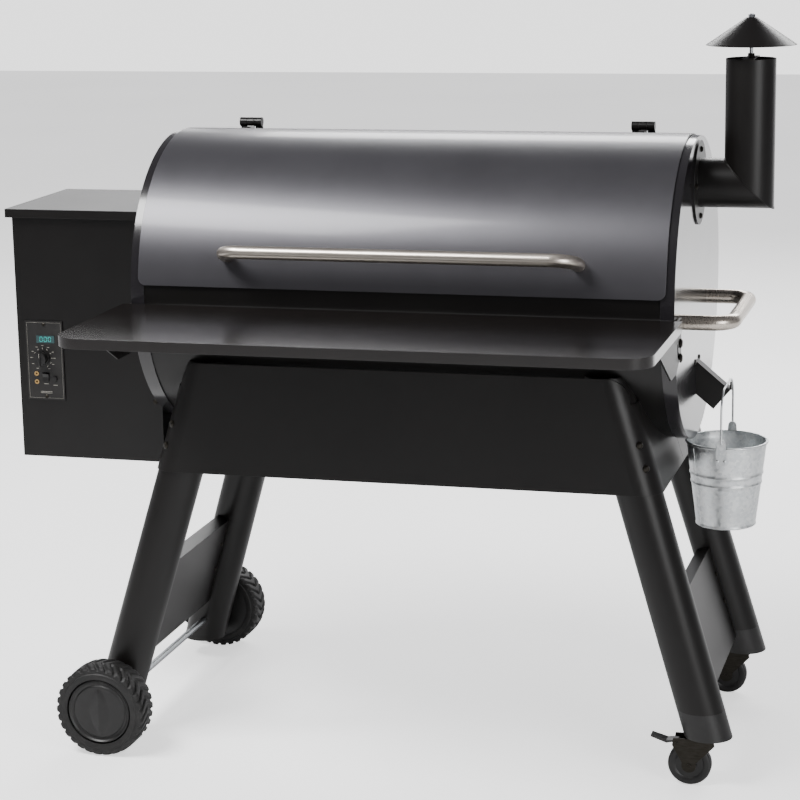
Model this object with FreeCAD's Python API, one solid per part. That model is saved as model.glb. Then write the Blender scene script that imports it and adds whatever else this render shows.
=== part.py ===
import FreeCAD, Part
import math
import os

from FreeCAD import Placement, Rotation, Vector

# Pellet smoker grill: a barrel cooker on four splayed legs, with a pellet hopper at its left end,
# a chimney, grease bucket and tow handle at its right end, a folding front shelf, two big wheels
# and two braked casters.  Millimetres, +X right, -Y front, +Z up.  Pieces are first built about
# the point on the floor under the middle of the barrel, and moved to the box's middle on export.

X = Vector(1, 0, 0)
Y = Vector(0, 1, 0)
Z = Vector(0, 0, 1)

# ---- clearances -----------------------------------------------------------------------------
running_fit = 0.05          # radial, a pin or shaft in its hole
moving_gap = 1.2            # between a moving sheet part and what it passes
cutout_gap = 1.0            # round a piece that sits in a cut-out
bend_gap = 0.4              # between a leg tube and the skirt bent round it
seam_gap = 1.0              # between the two aprons

# ---- barrel ---------------------------------------------------------------------------------
barrel_length = 916.0       # over the faces of the two end caps
barrel_radius = 252.0       # outside of the rolled shell
barrel_height = 791.0       # axis above the floor
shell_wall = 2.0
end_cap_wall = 2.0
end_cap_rim = 23.0          # width of the rim that sleeves over the shell

# ---- lid ------------------------------------------------------------------------------------
lid_inset = 14.0            # end of the lid inside the barrel's end
lid_wall = 2.0
lid_edge_rise = 21.5        # lower edge of the lid above the barrel's axis
lid_lap = 14.0              # how far the lid covers the shell past its opening
lid_corner = 14.0
hinge_back = 82.0           # hinge line behind the barrel's axis
hinge_standoff = 16.4       # hinge line outside the lid's skin
hinge_spacing = 702.0
knuckle_radius = 8.0
knuckle_length = 13.0
hinge_pin_radius = 4.0
hinge_strap = 3.0
hinge_strap_reach = 24.0       # length of a hinge strap along the skin

# ---- lid handle -----------------------------------------------------------------------------
handle_bar_radius = 11.0
handle_span = 590.0         # centre to centre of the two feet
handle_offset = 8.0         # middle of the handle to the right of the barrel's middle
handle_standoff = 52.0
handle_bend = 36.0
handle_angle = 16.5         # degrees above the horizontal

# ---- side handle ----------------------------------------------------------------------------
tow_bar_radius = 12.5
tow_span = 252.0
tow_centre = -11.0          # middle of the handle, along Y
tow_reach = 75.0            # bar axis off the end cap
tow_bend = 34.0
tow_drop = 34.0             # handle under the barrel's axis

# ---- cooking pieces inside ------------------------------------------------------------------
grate_drop = 29.0           # underside of the grates under the barrel's axis
grate_inset = 28.0          # end of the grates inside the barrel's end
grate_clearance = 10.3      # between the grates and the shell, along Y
grate_bar = 4.0
grate_bar_depth = 7.0
grate_pitch = 20.0
grate_rail = 18.0           # width of the rails that carry the grates
grate_rail_wall = 3.0
rack_rise = 143.0           # rack above the grates' underside
rack_depth = 172.0
rack_clearance = 26.5       # between the rack's rear edge and the shell, along Y
tray_rise = 25.0            # the tray's low end above the baffle
tray_fall = 26.0            # over the tray's length
tray_clearance = 17.0       # between the tray and the shell, along Y
tray_lip = 12.0
tray_wall = 2.0
spout_length = 42.0
baffle_length = 330.0
baffle_depth = 260.0
baffle_gap = 24.0           # baffle above the firepot's mouth
baffle_wall = 3.0
firepot_radius = 62.0
firepot_wall = 3.0
firepot_rise = 10.0         # firepot above the shell's lowest line
firepot_height = 75.0

# ---- pellet feed ----------------------------------------------------------------------------
auger_rise = 39.0           # auger's axis above the firepot's base
auger_tube_radius = 30.0
auger_tube_wall = 2.0
auger_screw_radius = 25.0
auger_shaft_radius = 8.0
auger_pitch = 42.0
auger_flight = 4.0
auger_reach = 182.0         # auger tube out from the barrel's left end
motor_length = 66.0
motor_size = 70.0
igniter_radius = 5.0
igniter_back = 42.0
igniter_rise = 15.0         # igniter above the firepot's base
probe_radius = 3.0
probe_length = 110.0

# ---- hopper ---------------------------------------------------------------------------------
hopper_width = 267.0        # outward from the barrel's left end
hopper_front = -131.0
hopper_back = 130.0
hopper_drop = 315.0         # floor of the hopper under the barrel's axis
hopper_rise = 125.0         # mouth of the hopper above the barrel's axis
hopper_wall = 2.0
hopper_lid_overhang = 9.0
hopper_lid_lip = 15.0
hopper_lid_wall = 2.0
bin_mouth_drop = 20.0       # rim of the bin under the hopper's mouth
bin_throat_rise = 50.0      # throat of the bin above the auger's axis
bin_throat = 46.0
guard_drop = 116.0          # guard under the hopper's mouth
guard_pitch = 24.0
guard_wire = 2.5
fan_radius = 38.0
fan_length = 44.0
fan_wall = 2.0
fan_reach = 140.0           # fan out from the barrel's left end
fan_blades = 8
inlet_width = 30.0
inlet_height = 24.0

# ---- controller -----------------------------------------------------------------------------
panel_width = 70.0
panel_height = 141.0
panel_reach = 216.5         # panel's middle out from the barrel's left end
panel_rise = 104.0          # panel's lower edge above the hopper's floor
panel_wall = 2.5
panel_box_depth = 34.0
display_width = 34.0
display_height = 13.0
display_centre = (2.5, 108.5)       # from the panel's middle line and its lower edge
dial_radius = 11.5
dial_depth = 16.0
dial_centre = (-4.0, 75.0)
dial_shaft_radius = 3.0
rocker_width = 11.0
rocker_height = 15.0
rocker_centre = (0.5, 41.0)
jack_radius = 3.2
jack_places = ((-17.0, 46.5), (-17.0, 32.0))
button_radius = 4.0
button_height = 3.6
button_centre = (17.5, 38.5)
rocker_tilt = 8.0           # degrees each way from level
rocker_pin_radius = 1.0
rocker_pin_reach = 1.6      # each end of the pin past the rocker's side

# ---- chimney --------------------------------------------------------------------------------
chimney_radius = 41.0
chimney_wall = 2.0
chimney_reach = 83.5        # upright's axis off the end cap
chimney_inset = 77.0        # chimney's elbow inside the end cap's rim
chimney_height = 205.0      # its mouth above the elbow
flange_radius = 70.0
flange_wall = 3.0
strap_width = 18.0
strap_wall = 2.0
rod_radius = 3.0
rod_nut_radius = 5.6
rod_nut_height = 6.0
cap_radius = 74.0
cap_rise = 22.0             # rim of the cap above the pipe's mouth
cap_height = 44.0
cap_flat_radius = 9.0
cap_wall = 1.6
rod_hang = 14.0             # rod below the strap

# ---- grease chute and bucket ----------------------------------------------------------------
chute_width = 18.0
chute_wall = 2.0
chute_slope = 40.0
chute_drop = 10.0           # top of the chute under the tray's low end
chute_root_height = 58.0
chute_length = 76.0
chute_hook = 10.0
bucket_reach = 52.0         # bucket's middle out from the barrel's right end
bail_height = 84.4          # from the chute's hook to the eyes of the bucket's ears
bucket_height = 147.0
bucket_rim_radius = 68.0
bucket_base_radius = 50.0
bucket_wall = 1.5
bucket_bead = 2.2
bail_wire = 1.8
bail_gap = 6.5              # bail's side wires off the bucket's rim
bail_bend = 38.0
bail_hook = 7.0             # how far the bail's ends turn in
bail_hook_bend = 2.4
ear_rise = 8.0
ear_width = 22.0
ear_wall = 2.0

# ---- shelf ----------------------------------------------------------------------------------
shelf_overhang = 13.0       # shelf past each end of the barrel
shelf_depth = 307.0
shelf_drop = 10.0           # top of the shelf under the barrel's axis
shelf_wall = 2.0
shelf_lip = 17.0
shelf_corner = 44.0
shelf_gap = 5.0             # shelf's rear edge off the barrel
bracket_wall = 3.0
bracket_drop = 84.0
bracket_reach = 232.0
bracket_tail = 56.0
pivot_back = 31.0           # pivot behind the shelf's rear edge
pivot_drop = 41.0           # pivot under the shelf's top
pivot_radius = 4.0
pivot_head = 7.5
pivot_head_wall = 4.0
guide_radius = 24.0         # slot's radius about the pivot
shelf_fold = 85.0           # degrees

# ---- legs and skirt -------------------------------------------------------------------------
leg_radius = 38.0
leg_wall = 2.0
leg_splay_x = 0.2995        # outward per millimetre of drop
leg_splay_y = 0.0487
skirt_low = 300.0           # the skirt's lower edge, where the legs' places are given, under the axis
leg_inset = 63.0            # leg inside the barrel's end
leg_tuck = 43.0             # leg inside the end cap's rim, along Y
left_leg_foot = 36.0
right_leg_foot = 131.0
skirt_wall = 2.0
skirt_high = 111.0          # the skirt's top under the barrel's axis
skirt_shoulder = 44.0
panel_low = 120.0           # cross panels between front and rear legs
panel_high = 286.0
panel_sheet = 2.0
panel_flange = 24.0

# ---- big wheels -----------------------------------------------------------------------------
wheel_radius = 80.0
wheel_width = 60.0
wheel_rim_radius = 58.0
wheel_gap = 6.0             # wheel off the leg
axle_radius = 6.0
hub_web = 8.0
tyre_shoulder = 9.0
cap_fold_height = 5.0

# ---- casters --------------------------------------------------------------------------------
leg_cap_wall = 3.0
leg_cap_foot = 86.0
caster_wheel_radius = 36.0
caster_wheel_width = 22.0
caster_trail = 30.0
caster_plate_height = 82.0
caster_plate_radius = 17.0
caster_stem_radius = 5.0
caster_stem_length = 20.0
fork_wall = 2.5
fork_gap = 1.5
pin_radius = 3.0
pedal_length = 44.0
pedal_wall = 3.0
pedal_pivot = (-20.0, 74.0)         # from the wheel's axle along X, and above the floor

# ---- fasteners ------------------------------------------------------------------------------
bolt_head = 6.5
bolt_head_height = 3.5
screw_head = 4.5
screw_head_height = 2.2

# ---- places worked out from the sizes above ---------------------------------------------------
end_x = barrel_length / 2
shell_end_x = end_x - end_cap_wall
rim_outer = barrel_radius + end_cap_wall
lid_inner = rim_outer + moving_gap
lid_outer = lid_inner + lid_wall
lid_half = end_x - lid_inset
shell_inner = barrel_radius - shell_wall
shell_low = barrel_height - shell_inner


def chord(height, clearance):
    """Width along Y of what fits in the shell at a height, a clearance off it on each side."""
    return 2 * (math.sqrt(shell_inner ** 2 - (barrel_height - height) ** 2) - clearance)


tow_height = barrel_height - tow_drop
grate_height = barrel_height - grate_drop
grate_width = barrel_length - 2 * grate_inset
grate_depth = chord(grate_height, grate_clearance)
rack_height = grate_height + rack_rise
rack_front = chord(rack_height, rack_clearance) / 2 - rack_depth
firepot_base = shell_low + firepot_rise
firepot_top = firepot_base + firepot_height
baffle_height = firepot_top + baffle_gap
tray_low = baffle_height + baffle_wall + tray_rise
tray_high = tray_low + tray_fall
tray_length = grate_width
tray_depth = chord(tray_low, tray_clearance)
auger_height = firepot_base + auger_rise
auger_start = -end_x - auger_reach
igniter_height = firepot_base + igniter_rise
hopper_bottom = barrel_height - hopper_drop
hopper_top = barrel_height + hopper_rise
bin_mouth_height = hopper_top - bin_mouth_drop
bin_throat_height = auger_height + bin_throat_rise
guard_height = hopper_top - guard_drop
fan_place = -end_x - fan_reach
panel_centre_x = -end_x - panel_reach
panel_base = hopper_bottom + panel_rise
chimney_stub_height = barrel_height + rim_outer - chimney_inset
chimney_top = chimney_stub_height + chimney_height
chute_root_top = tray_low - chute_drop
bucket_centre = end_x + bucket_reach
bail_side = bucket_rim_radius + bail_gap
leg_level = barrel_height - skirt_low
leg_spacing_x = barrel_length - 2 * leg_inset
leg_spacing_y = 2 * (rim_outer - leg_tuck)
skirt_top = barrel_height - skirt_high
hinge_line_radius = lid_outer + hinge_standoff
hinge_z = barrel_height + math.sqrt(hinge_line_radius ** 2 - hinge_back ** 2)
lid_back_angle = 90 + math.degrees(math.asin((hinge_back - knuckle_radius) / lid_outer))
lid_front_angle = math.degrees(math.asin(lid_edge_rise / lid_outer))
lap_angle = math.degrees(lid_lap / barrel_radius)
hopper_left = -end_x - hopper_width
hopper_hinge_y = hopper_back + 4.0
hopper_hinge_z = hopper_top - 3.0
hopper_pin_radius = 1.5
hopper_knuckle = 3.5
panel_face = hopper_front - panel_wall
fan_height = hopper_bottom + hopper_wall + fan_radius
chimney_x = end_x + chimney_reach
shelf_back = -(rim_outer + shelf_gap)
shelf_front = shelf_back - shelf_depth
shelf_height = barrel_height - shelf_drop
shelf_width = barrel_length + 2 * shelf_overhang
pivot_y = shelf_back + pivot_back
pivot_z = shelf_height - pivot_drop
bracket_x = end_x + moving_gap + 1.0
axle_z = wheel_radius
axle_x = -(leg_spacing_x / 2 + leg_splay_x * (leg_level - axle_z))
caster_x = leg_spacing_x / 2 + leg_splay_x * (leg_level - leg_cap_foot)
caster_y = leg_spacing_y / 2 + leg_splay_y * (leg_level - leg_cap_foot)
caster_wheel_x = caster_x - caster_trail
leg_slice = leg_radius * math.hypot(1, leg_splay_x)
leg_outer_y = leg_spacing_y / 2 + leg_splay_y * (leg_level - axle_z) + leg_radius
wheel_inner_y = leg_outer_y + wheel_gap
wheel_outer_y = wheel_inner_y + wheel_width
strap_z = chimney_top
cap_rim_z = chimney_top + cap_rise
hook_z = chute_root_top - bucket_reach * math.tan(math.radians(chute_slope))
ear_z = hook_z - bail_height
bucket_rim = ear_z - ear_rise

pieces = {}


# ---- helpers --------------------------------------------------------------------------------
def box(x0, x1, y0, y1, z0, z1):
    """A block between two corners."""
    return Part.makeBox(x1 - x0, y1 - y0, z1 - z0, Vector(x0, y0, z0))


def rod(start, direction, length, radius):
    """A solid round bar from a point along a direction."""
    return Part.makeCylinder(radius, length, start, direction)


def tube(start, direction, length, radius, wall):
    """A round tube from a point along a direction."""
    return rod(start, direction, length, radius).cut(rod(start, direction, length, radius - wall))


def polygon(points):
    """A closed wire through points."""
    return Part.makePolygon(points + [points[0]])


def prism(points, sweep):
    """A solid swept from the flat face bounded by points."""
    return Part.Face(polygon(points)).extrude(sweep)


def union(solids):
    """One solid from several that touch or overlap."""
    return solids[0].multiFuse(solids[1:]).removeSplitter()


def mirrored(shape, normal):
    """The shape's mirror image in a plane through the origin."""
    return shape.mirror(Vector(0, 0, 0), normal)


def turned(shape, centre, axis, degrees):
    """The shape turned about an axis through a point."""
    copy = shape.copy()
    copy.rotate(centre, axis, degrees)
    return copy


def on_barrel(radius, degrees, x=0.0):
    """A point at an angle above the front horizontal, round the barrel's axis."""
    turn = math.radians(degrees)
    return Vector(x, -radius * math.cos(turn), barrel_height + radius * math.sin(turn))


def barrel_sector(inner, outer, half_length, from_angle, to_angle):
    """Part of a shell about the barrel's axis, between two angles above the front horizontal."""
    corners = [on_barrel(radius, angle, -half_length)
               for radius, angle in ((inner, from_angle), (outer, from_angle),
                                     (outer, to_angle), (inner, to_angle))]
    middle = (from_angle + to_angle) / 2
    edges = [Part.LineSegment(corners[0], corners[1]).toShape(),
             Part.Arc(corners[1], on_barrel(outer, middle, -half_length), corners[2]).toShape(),
             Part.LineSegment(corners[2], corners[3]).toShape(),
             Part.Arc(corners[3], on_barrel(inner, middle, -half_length), corners[0]).toShape()]
    return Part.Face(Part.Wire(edges)).extrude(X * (2 * half_length))


def bent_bar(foot, along, out, span, reach, bend, radius):
    """A round bar bent into a U: two legs along `out` and a bar along `along`."""
    k = bend * (1 - math.sqrt(0.5))
    a, b = foot, foot + along * span
    top_a, top_b = a + out * reach, b + out * reach
    a_up, a_in = a + out * (reach - bend), top_a + along * bend
    b_in, b_up = top_b - along * bend, b + out * (reach - bend)
    path = Part.Wire([Part.LineSegment(a, a_up).toShape(),
                      Part.Arc(a_up, top_a + (along - out) * k, a_in).toShape(),
                      Part.LineSegment(a_in, b_in).toShape(),
                      Part.Arc(b_in, top_b - (along + out) * k, b_up).toShape(),
                      Part.LineSegment(b_up, b).toShape()])
    return path.makePipeShell([Part.Wire(Part.makeCircle(radius, foot, out))], True, False)


def bolt(place, out, head=bolt_head, height=bolt_head_height):
    """A low domed bolt head standing on a surface."""
    base = rod(place, out, height * 0.5, head)
    crown = Part.makeCone(head, head * 0.55, height * 0.5, place + out * (height * 0.5), out)
    return base.fuse(crown).removeSplitter()


def hexagon(place, radius, height):
    """An upright hexagonal nut."""
    corners = [place + Vector(radius * math.cos(math.radians(60 * i)),
                              radius * math.sin(math.radians(60 * i)), 0) for i in range(6)]
    return prism(corners, Z * height)


# ---- barrel ---------------------------------------------------------------------------------
def make_barrel():
    """Rolled shell, open where the lid covers it, and the two end caps that sleeve over it."""
    shell = barrel_sector(shell_inner, barrel_radius, shell_end_x,
                          lid_back_angle - lap_angle, 360 + lid_front_angle + lap_angle)
    room = rod(Vector(-end_x, 0, barrel_height), X, barrel_length, shell_inner)
    half, edge = grate_width / 2, grate_depth / 2 + 1
    rails = [box(-half, half, min(side * edge, side * barrel_radius) if side < 0 else edge - grate_rail,
                 -edge + grate_rail if side < 0 else barrel_radius,
                 grate_height - grate_rail_wall, grate_height).common(room) for side in (-1, 1)]
    pieces["barrel_shell"] = union([shell] + rails)
    for side, name in ((-1, "end_cap_left"), (1, "end_cap_right")):
        face_x = side * end_x
        inward = X * -side
        cap = rod(Vector(face_x, 0, barrel_height), inward, end_cap_rim, rim_outer)
        pocket = Vector(face_x - side * end_cap_wall, 0, barrel_height)
        cap = cap.cut(rod(pocket, inward, end_cap_rim, barrel_radius))
        cuts = chimney_and_chute_holes() if side > 0 else feed_holes()
        for cut in cuts:
            cap = cap.cut(cut)
        pieces[name] = cap


def chimney_and_chute_holes():
    """What is cut from the right end cap: the smoke outlet and the grease slot."""
    inner = end_x - end_cap_wall - cutout_gap
    smoke = rod(Vector(inner, 0, chimney_stub_height), X, 2 * end_cap_wall + cutout_gap,
                chimney_radius - chimney_wall)
    half = chute_width / 2 - chute_wall
    grease = box(inner, end_x + 1, -half, half,
                 chute_root_top - chute_root_height + 4, chute_root_top - 4)
    return [smoke, grease]


def feed_holes():
    """What is cut from the left end cap: the auger tube, the igniter and the probe."""
    start = -end_x - 1
    length = end_cap_wall + 2
    return [rod(Vector(start, 0, auger_height), X, length, auger_tube_radius + cutout_gap),
            rod(Vector(start, igniter_back, igniter_height), X, length, igniter_radius),
            rod(probe_place(), X, length, probe_radius)]


def probe_place():
    """Where the temperature probe comes through the left end cap."""
    return Vector(-end_x - 1, -90, barrel_height + 30)


# ---- lid ------------------------------------------------------------------------------------
def make_lid():
    """The curved lid with rounded lower corners, its hinges and its handle."""
    lid = barrel_sector(lid_inner, lid_outer, lid_half, lid_front_angle, lid_back_angle)
    base_z = barrel_height + lid_outer * math.sin(math.radians(lid_front_angle))
    for side in (-1, 1):
        corner = box(-lid_corner, 0, -lid_outer - 1, 0, 0, lid_corner)
        corner = corner.cut(rod(Vector(-lid_corner, 0, lid_corner), -Y, lid_outer + 1, lid_corner))
        if side < 0:
            corner = mirrored(corner, X)
        corner.translate(Vector(side * lid_half, 0, base_z - lid_wall * 0.2))
        lid = lid.cut(corner)
    pieces["lid_shell"] = lid
    pieces["lid_handle"] = lid_handle()
    leaves, arms = [], []
    for side in (-1, 1):
        leaf, arm = lid_hinge(side * hinge_spacing / 2)
        leaves.append(leaf)
        arms.append(arm)
    pieces["hinge_leaves"] = Part.makeCompound(leaves)
    pieces["lid_hinge_arms"] = Part.makeCompound(arms)


def lid_handle():
    """The stainless bar across the lid, its feet cut to the lid's curve."""
    turn = math.radians(handle_angle)
    out = Vector(0, -math.cos(turn), math.sin(turn))
    foot = on_barrel(lid_inner, handle_angle, handle_offset - handle_span / 2)
    reach = handle_standoff + lid_wall
    bar = bent_bar(foot, X, out, handle_span, reach, handle_bend, handle_bar_radius)
    skin = rod(Vector(-end_x, 0, barrel_height), X, barrel_length, lid_outer)
    return bar.cut(skin)


def lid_hinge(x):
    """One hinge: two outer knuckles with a pin, for the shell, and a middle knuckle, for the lid."""
    axis = Vector(x, hinge_back, hinge_z)
    half = knuckle_length / 2
    gap = 0.4
    hole = rod(axis - X * 40, X, 80, hinge_pin_radius + running_fit)
    middle = rod(axis - X * half, X, knuckle_length, knuckle_radius)
    arm_front = lid_back_angle - math.degrees(hinge_strap_reach / lid_outer)
    strap = strap_to_skin(x - half, x + half, arm_front, lid_back_angle, lid_outer)
    arm = union([middle, strap]).cut(hole)
    back_angle = lid_back_angle + math.degrees(2 * knuckle_radius / lid_outer)
    leaf_back = back_angle + math.degrees(hinge_strap_reach / barrel_radius)
    pin_length = 3 * knuckle_length + 2 * gap
    leaf = [rod(axis - X * (pin_length / 2), X, pin_length, hinge_pin_radius)]
    for side in (-1, 1):
        start = x + (half + gap if side > 0 else -half - gap - knuckle_length)
        leaf.append(rod(Vector(start, hinge_back, hinge_z), X, knuckle_length, knuckle_radius))
        leaf.append(strap_to_skin(start, start + knuckle_length, back_angle, leaf_back,
                                  barrel_radius))
    return union(leaf), arm


def strap_to_skin(x0, x1, near_angle, far_angle, skin_radius):
    """A hinge strap: a foot lying on the skin and a web that joins it to the hinge line."""
    foot_near, foot_far = min(near_angle, far_angle), max(near_angle, far_angle)
    foot = barrel_sector(skin_radius, skin_radius + hinge_strap, 0.5, foot_near, foot_far)
    foot = foot.transformGeometry(scaled_along_x(x1 - x0, x0 + (x1 - x0) / 2))
    root_angle = far_angle if skin_radius > barrel_radius else near_angle
    root = on_barrel(skin_radius + hinge_strap / 2, root_angle, x0)
    axis = Vector(x0, hinge_back, hinge_z)
    along = (axis - root).normalize()
    side = along.cross(X) * (hinge_strap / 2)
    web = prism([root - side, root + side, axis + side, axis - side], X * (x1 - x0))
    return union([foot, web])


def scaled_along_x(factor, centre):
    """A matrix that stretches a one-millimetre slice to a width, about a place along X."""
    matrix = FreeCAD.Matrix()
    matrix.A11 = factor
    matrix.A14 = centre
    return matrix


# ---- cooking pieces -------------------------------------------------------------------------
def make_cooking_pieces():
    """Grates, rack, drip tray, heat baffle and firepot, from the top down."""
    grates = []
    for side in (-1, 1):
        x0 = 1.5 if side > 0 else -grate_width / 2
        x1 = grate_width / 2 if side > 0 else -1.5
        grates.append(bar_grid(x0, x1, -grate_depth / 2, grate_depth / 2, grate_height))
    pieces["grill_grates"] = Part.makeCompound(grates)
    pieces["upper_rack"] = upper_rack()
    pieces["drip_tray"] = drip_tray()
    half_x, half_y = baffle_length / 2, baffle_depth / 2
    plate = box(-half_x, half_x, -half_y, half_y, baffle_height, baffle_height + baffle_wall)
    foot_top = baffle_height + baffle_wall
    feet = [box(side * half_x - (baffle_wall if side > 0 else 0),
                side * half_x + (baffle_wall if side < 0 else 0),
                -half_y, half_y, barrel_height - barrel_radius, foot_top) for side in (-1, 1)]
    room = rod(Vector(-end_x, 0, barrel_height), X, barrel_length, shell_inner)
    tunnel = rod(Vector(-end_x, 0, auger_height), X, barrel_length, auger_tube_radius + 6)
    side_tunnel = rod(Vector(-end_x, igniter_back, igniter_height), X, end_x, igniter_radius + 4)
    pieces["heat_baffle"] = union([plate] + feet).common(room).cut(tunnel).cut(side_tunnel)
    pot = tube(Vector(0, 0, firepot_base), Z, firepot_top - firepot_base, firepot_radius, firepot_wall)
    floor = rod(Vector(0, 0, firepot_base), Z, firepot_wall, firepot_radius)
    vents = [rod(Vector(0, 0, firepot_top - 18), Vector(math.cos(a), math.sin(a), 0),
                 firepot_radius + 1, 4.0)
             for a in (math.radians(30 + 40 * i) for i in range(4))]
    mouth = rod(Vector(-firepot_radius - 1, 0, auger_height), X, firepot_radius, auger_tube_radius)
    hot_rod = rod(Vector(-firepot_radius - 1, igniter_back, igniter_height), X, firepot_radius,
                  igniter_radius)
    pot = union([pot, floor])
    for cut in vents + [mouth, hot_rod]:
        pot = pot.cut(cut)
    pieces["firepot"] = pot


def bar_grid(x0, x1, y0, y1, z):
    """A cooking grate: bars along Y held by three cross bars under them and a frame."""
    count = int((x1 - x0 - grate_bar) // grate_pitch)
    step = (x1 - x0 - grate_bar) / count
    bars = [box(x0 + i * step, x0 + i * step + grate_bar, y0, y1, z, z + grate_bar_depth)
            for i in range(count + 1)]
    ends = [box(x0, x1, y, y + grate_bar, z, z + grate_bar_depth) for y in (y0, y1 - grate_bar)]
    middle = (y0 + y1) / 2
    cross = [box(x0, x1, middle - grate_bar / 2, middle + grate_bar / 2, z, z + grate_bar)]
    return union(bars + ends + cross)


def upper_rack():
    """The narrow warming rack at the back, standing on two end legs."""
    half = grate_width / 2
    back = rack_front + rack_depth
    rack = bar_grid(-half, half, rack_front, back, rack_height)
    foot = grate_height + grate_bar_depth
    legs = [box(side * half - (grate_bar if side > 0 else 0),
                side * half + (grate_bar if side < 0 else 0),
                y, y + grate_bar, foot, rack_height + grate_bar)
            for side in (-1, 1) for y in (rack_front, back - grate_bar)]
    return union([rack] + legs)


def drip_tray():
    """A sloping tray with turned-up lips and a spout that feeds the grease chute."""
    half_x, half_y = tray_length / 2, tray_depth / 2

    def tray_at(x):
        """Height of the tray's underside."""
        return tray_high + (tray_low - tray_high) * (x + half_x) / tray_length

    def slab(x0, x1, y0, y1, low, high):
        """A block whose lower and upper faces follow the tray's slope."""
        return prism([Vector(x0, y0, tray_at(x0) + low), Vector(x1, y0, tray_at(x1) + low),
                      Vector(x1, y0, tray_at(x1) + high), Vector(x0, y0, tray_at(x0) + high)],
                     Y * (y1 - y0))

    body = slab(-half_x, half_x, -half_y, half_y, 0, tray_lip)
    body = body.cut(slab(-half_x + tray_wall, half_x - tray_wall, -half_y + tray_wall,
                         half_y - tray_wall, tray_wall, tray_lip + 1))
    spout_half = chute_width / 2 - chute_wall - cutout_gap
    drop_x = half_x - 30
    body = body.cut(box(drop_x, half_x - 8, -spout_half + tray_wall, spout_half - tray_wall,
                        tray_low - 10, tray_low + 10))
    top_z = tray_low + tray_wall / 2
    low_z = chute_root_top - 22
    end = half_x + spout_length
    spout = prism([Vector(drop_x - tray_wall, -spout_half, top_z),
                   Vector(half_x - 8 + tray_wall, -spout_half, top_z),
                   Vector(half_x - 8 + tray_wall, -spout_half, chute_root_top - 8),
                   Vector(end, -spout_half, chute_root_top - 18),
                   Vector(end, -spout_half, low_z - 12),
                   Vector(drop_x - tray_wall, -spout_half, low_z)], Y * (2 * spout_half))
    hollow = prism([Vector(drop_x, -spout_half + tray_wall, top_z + 1),
                    Vector(half_x - 8, -spout_half + tray_wall, top_z + 1),
                    Vector(half_x - 8, -spout_half + tray_wall, chute_root_top - 10),
                    Vector(end + 1, -spout_half + tray_wall, chute_root_top - 20),
                    Vector(end + 1, -spout_half + tray_wall, low_z - 10),
                    Vector(drop_x, -spout_half + tray_wall, low_z + tray_wall)],
                   Y * (2 * (spout_half - tray_wall)))
    inset, half_foot = 12, 6
    foot_x, foot_y = baffle_length / 2 - inset, baffle_depth / 2 - inset
    feet = [box(x - half_foot, x + half_foot, y - half_foot, y + half_foot,
                baffle_height + baffle_wall, tray_at(x) + tray_wall / 2)
            for x in (-foot_x, foot_x) for y in (-foot_y, foot_y)]
    return union([body, spout] + feet).cut(hollow)


# ---- pellet feed ----------------------------------------------------------------------------
def make_pellet_feed():
    """Auger tube, screw and motor, the igniter and the temperature probe."""
    start = Vector(auger_start, 0, auger_height)
    pot_face = -math.sqrt(firepot_radius ** 2 - auger_tube_radius ** 2)
    length = pot_face - auger_start
    pipe = tube(start, X, length, auger_tube_radius, auger_tube_wall)
    pot = rod(Vector(0, 0, firepot_base), Z, firepot_top - firepot_base, firepot_radius)
    throat_x = hopper_middle_x()
    half = bin_throat / 2 - hopper_wall
    mouth = box(throat_x - half, throat_x + half, -half, half, auger_height, bin_throat_height)
    plug = rod(start, X, auger_tube_wall, auger_tube_radius)
    bearing = rod(start - X, X, auger_tube_wall + 2, auger_shaft_radius + running_fit)
    pieces["auger_tube"] = union([pipe, plug]).cut(mouth).cut(pot).cut(bearing)
    pieces["auger_screw"] = auger_screw(length)
    motor_end = auger_start
    half_motor = motor_size / 2
    motor = box(motor_end - motor_length, motor_end, -half_motor, half_motor,
                auger_height - half_motor, auger_height + half_motor)
    shaft_hole = rod(Vector(motor_end - 20, 0, auger_height), X, 21,
                     auger_shaft_radius + running_fit)
    pieces["auger_motor"] = motor.cut(shaft_hole)
    tip = -firepot_radius + 22
    pieces["igniter_rod"] = rod(Vector(-end_x - 30, igniter_back, igniter_height), X,
                                end_x + 30 + tip, igniter_radius)
    pieces["temperature_probe"] = rod(probe_place(), X, probe_length, probe_radius)


def auger_screw(tube_length):
    """A shaft with one helical flight, from the motor to just short of the firepot."""
    shaft_start = Vector(auger_start - 18, 0, auger_height)
    shaft = rod(shaft_start, X, tube_length + 14, auger_shaft_radius)
    flight_length = tube_length - 24
    turns_pitch = flight_length / round(flight_length / auger_pitch)
    helix = Part.makeHelix(turns_pitch, flight_length, auger_shaft_radius - 1)
    inner, outer = auger_shaft_radius - 1, auger_screw_radius
    half = auger_flight / 2
    section = polygon([Vector(inner, 0, -half), Vector(outer, 0, -half),
                       Vector(outer, 0, half), Vector(inner, 0, half)])
    flight = Part.Wire(helix).makePipeShell([section], True, True)
    flight.Placement = Placement(Vector(auger_start + 8, 0, auger_height), Rotation(Z, X))
    return shaft.fuse(flight)


# ---- hopper ---------------------------------------------------------------------------------
def hopper_middle_x():
    """Middle of the hopper along X."""
    return -end_x - hopper_width / 2


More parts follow.
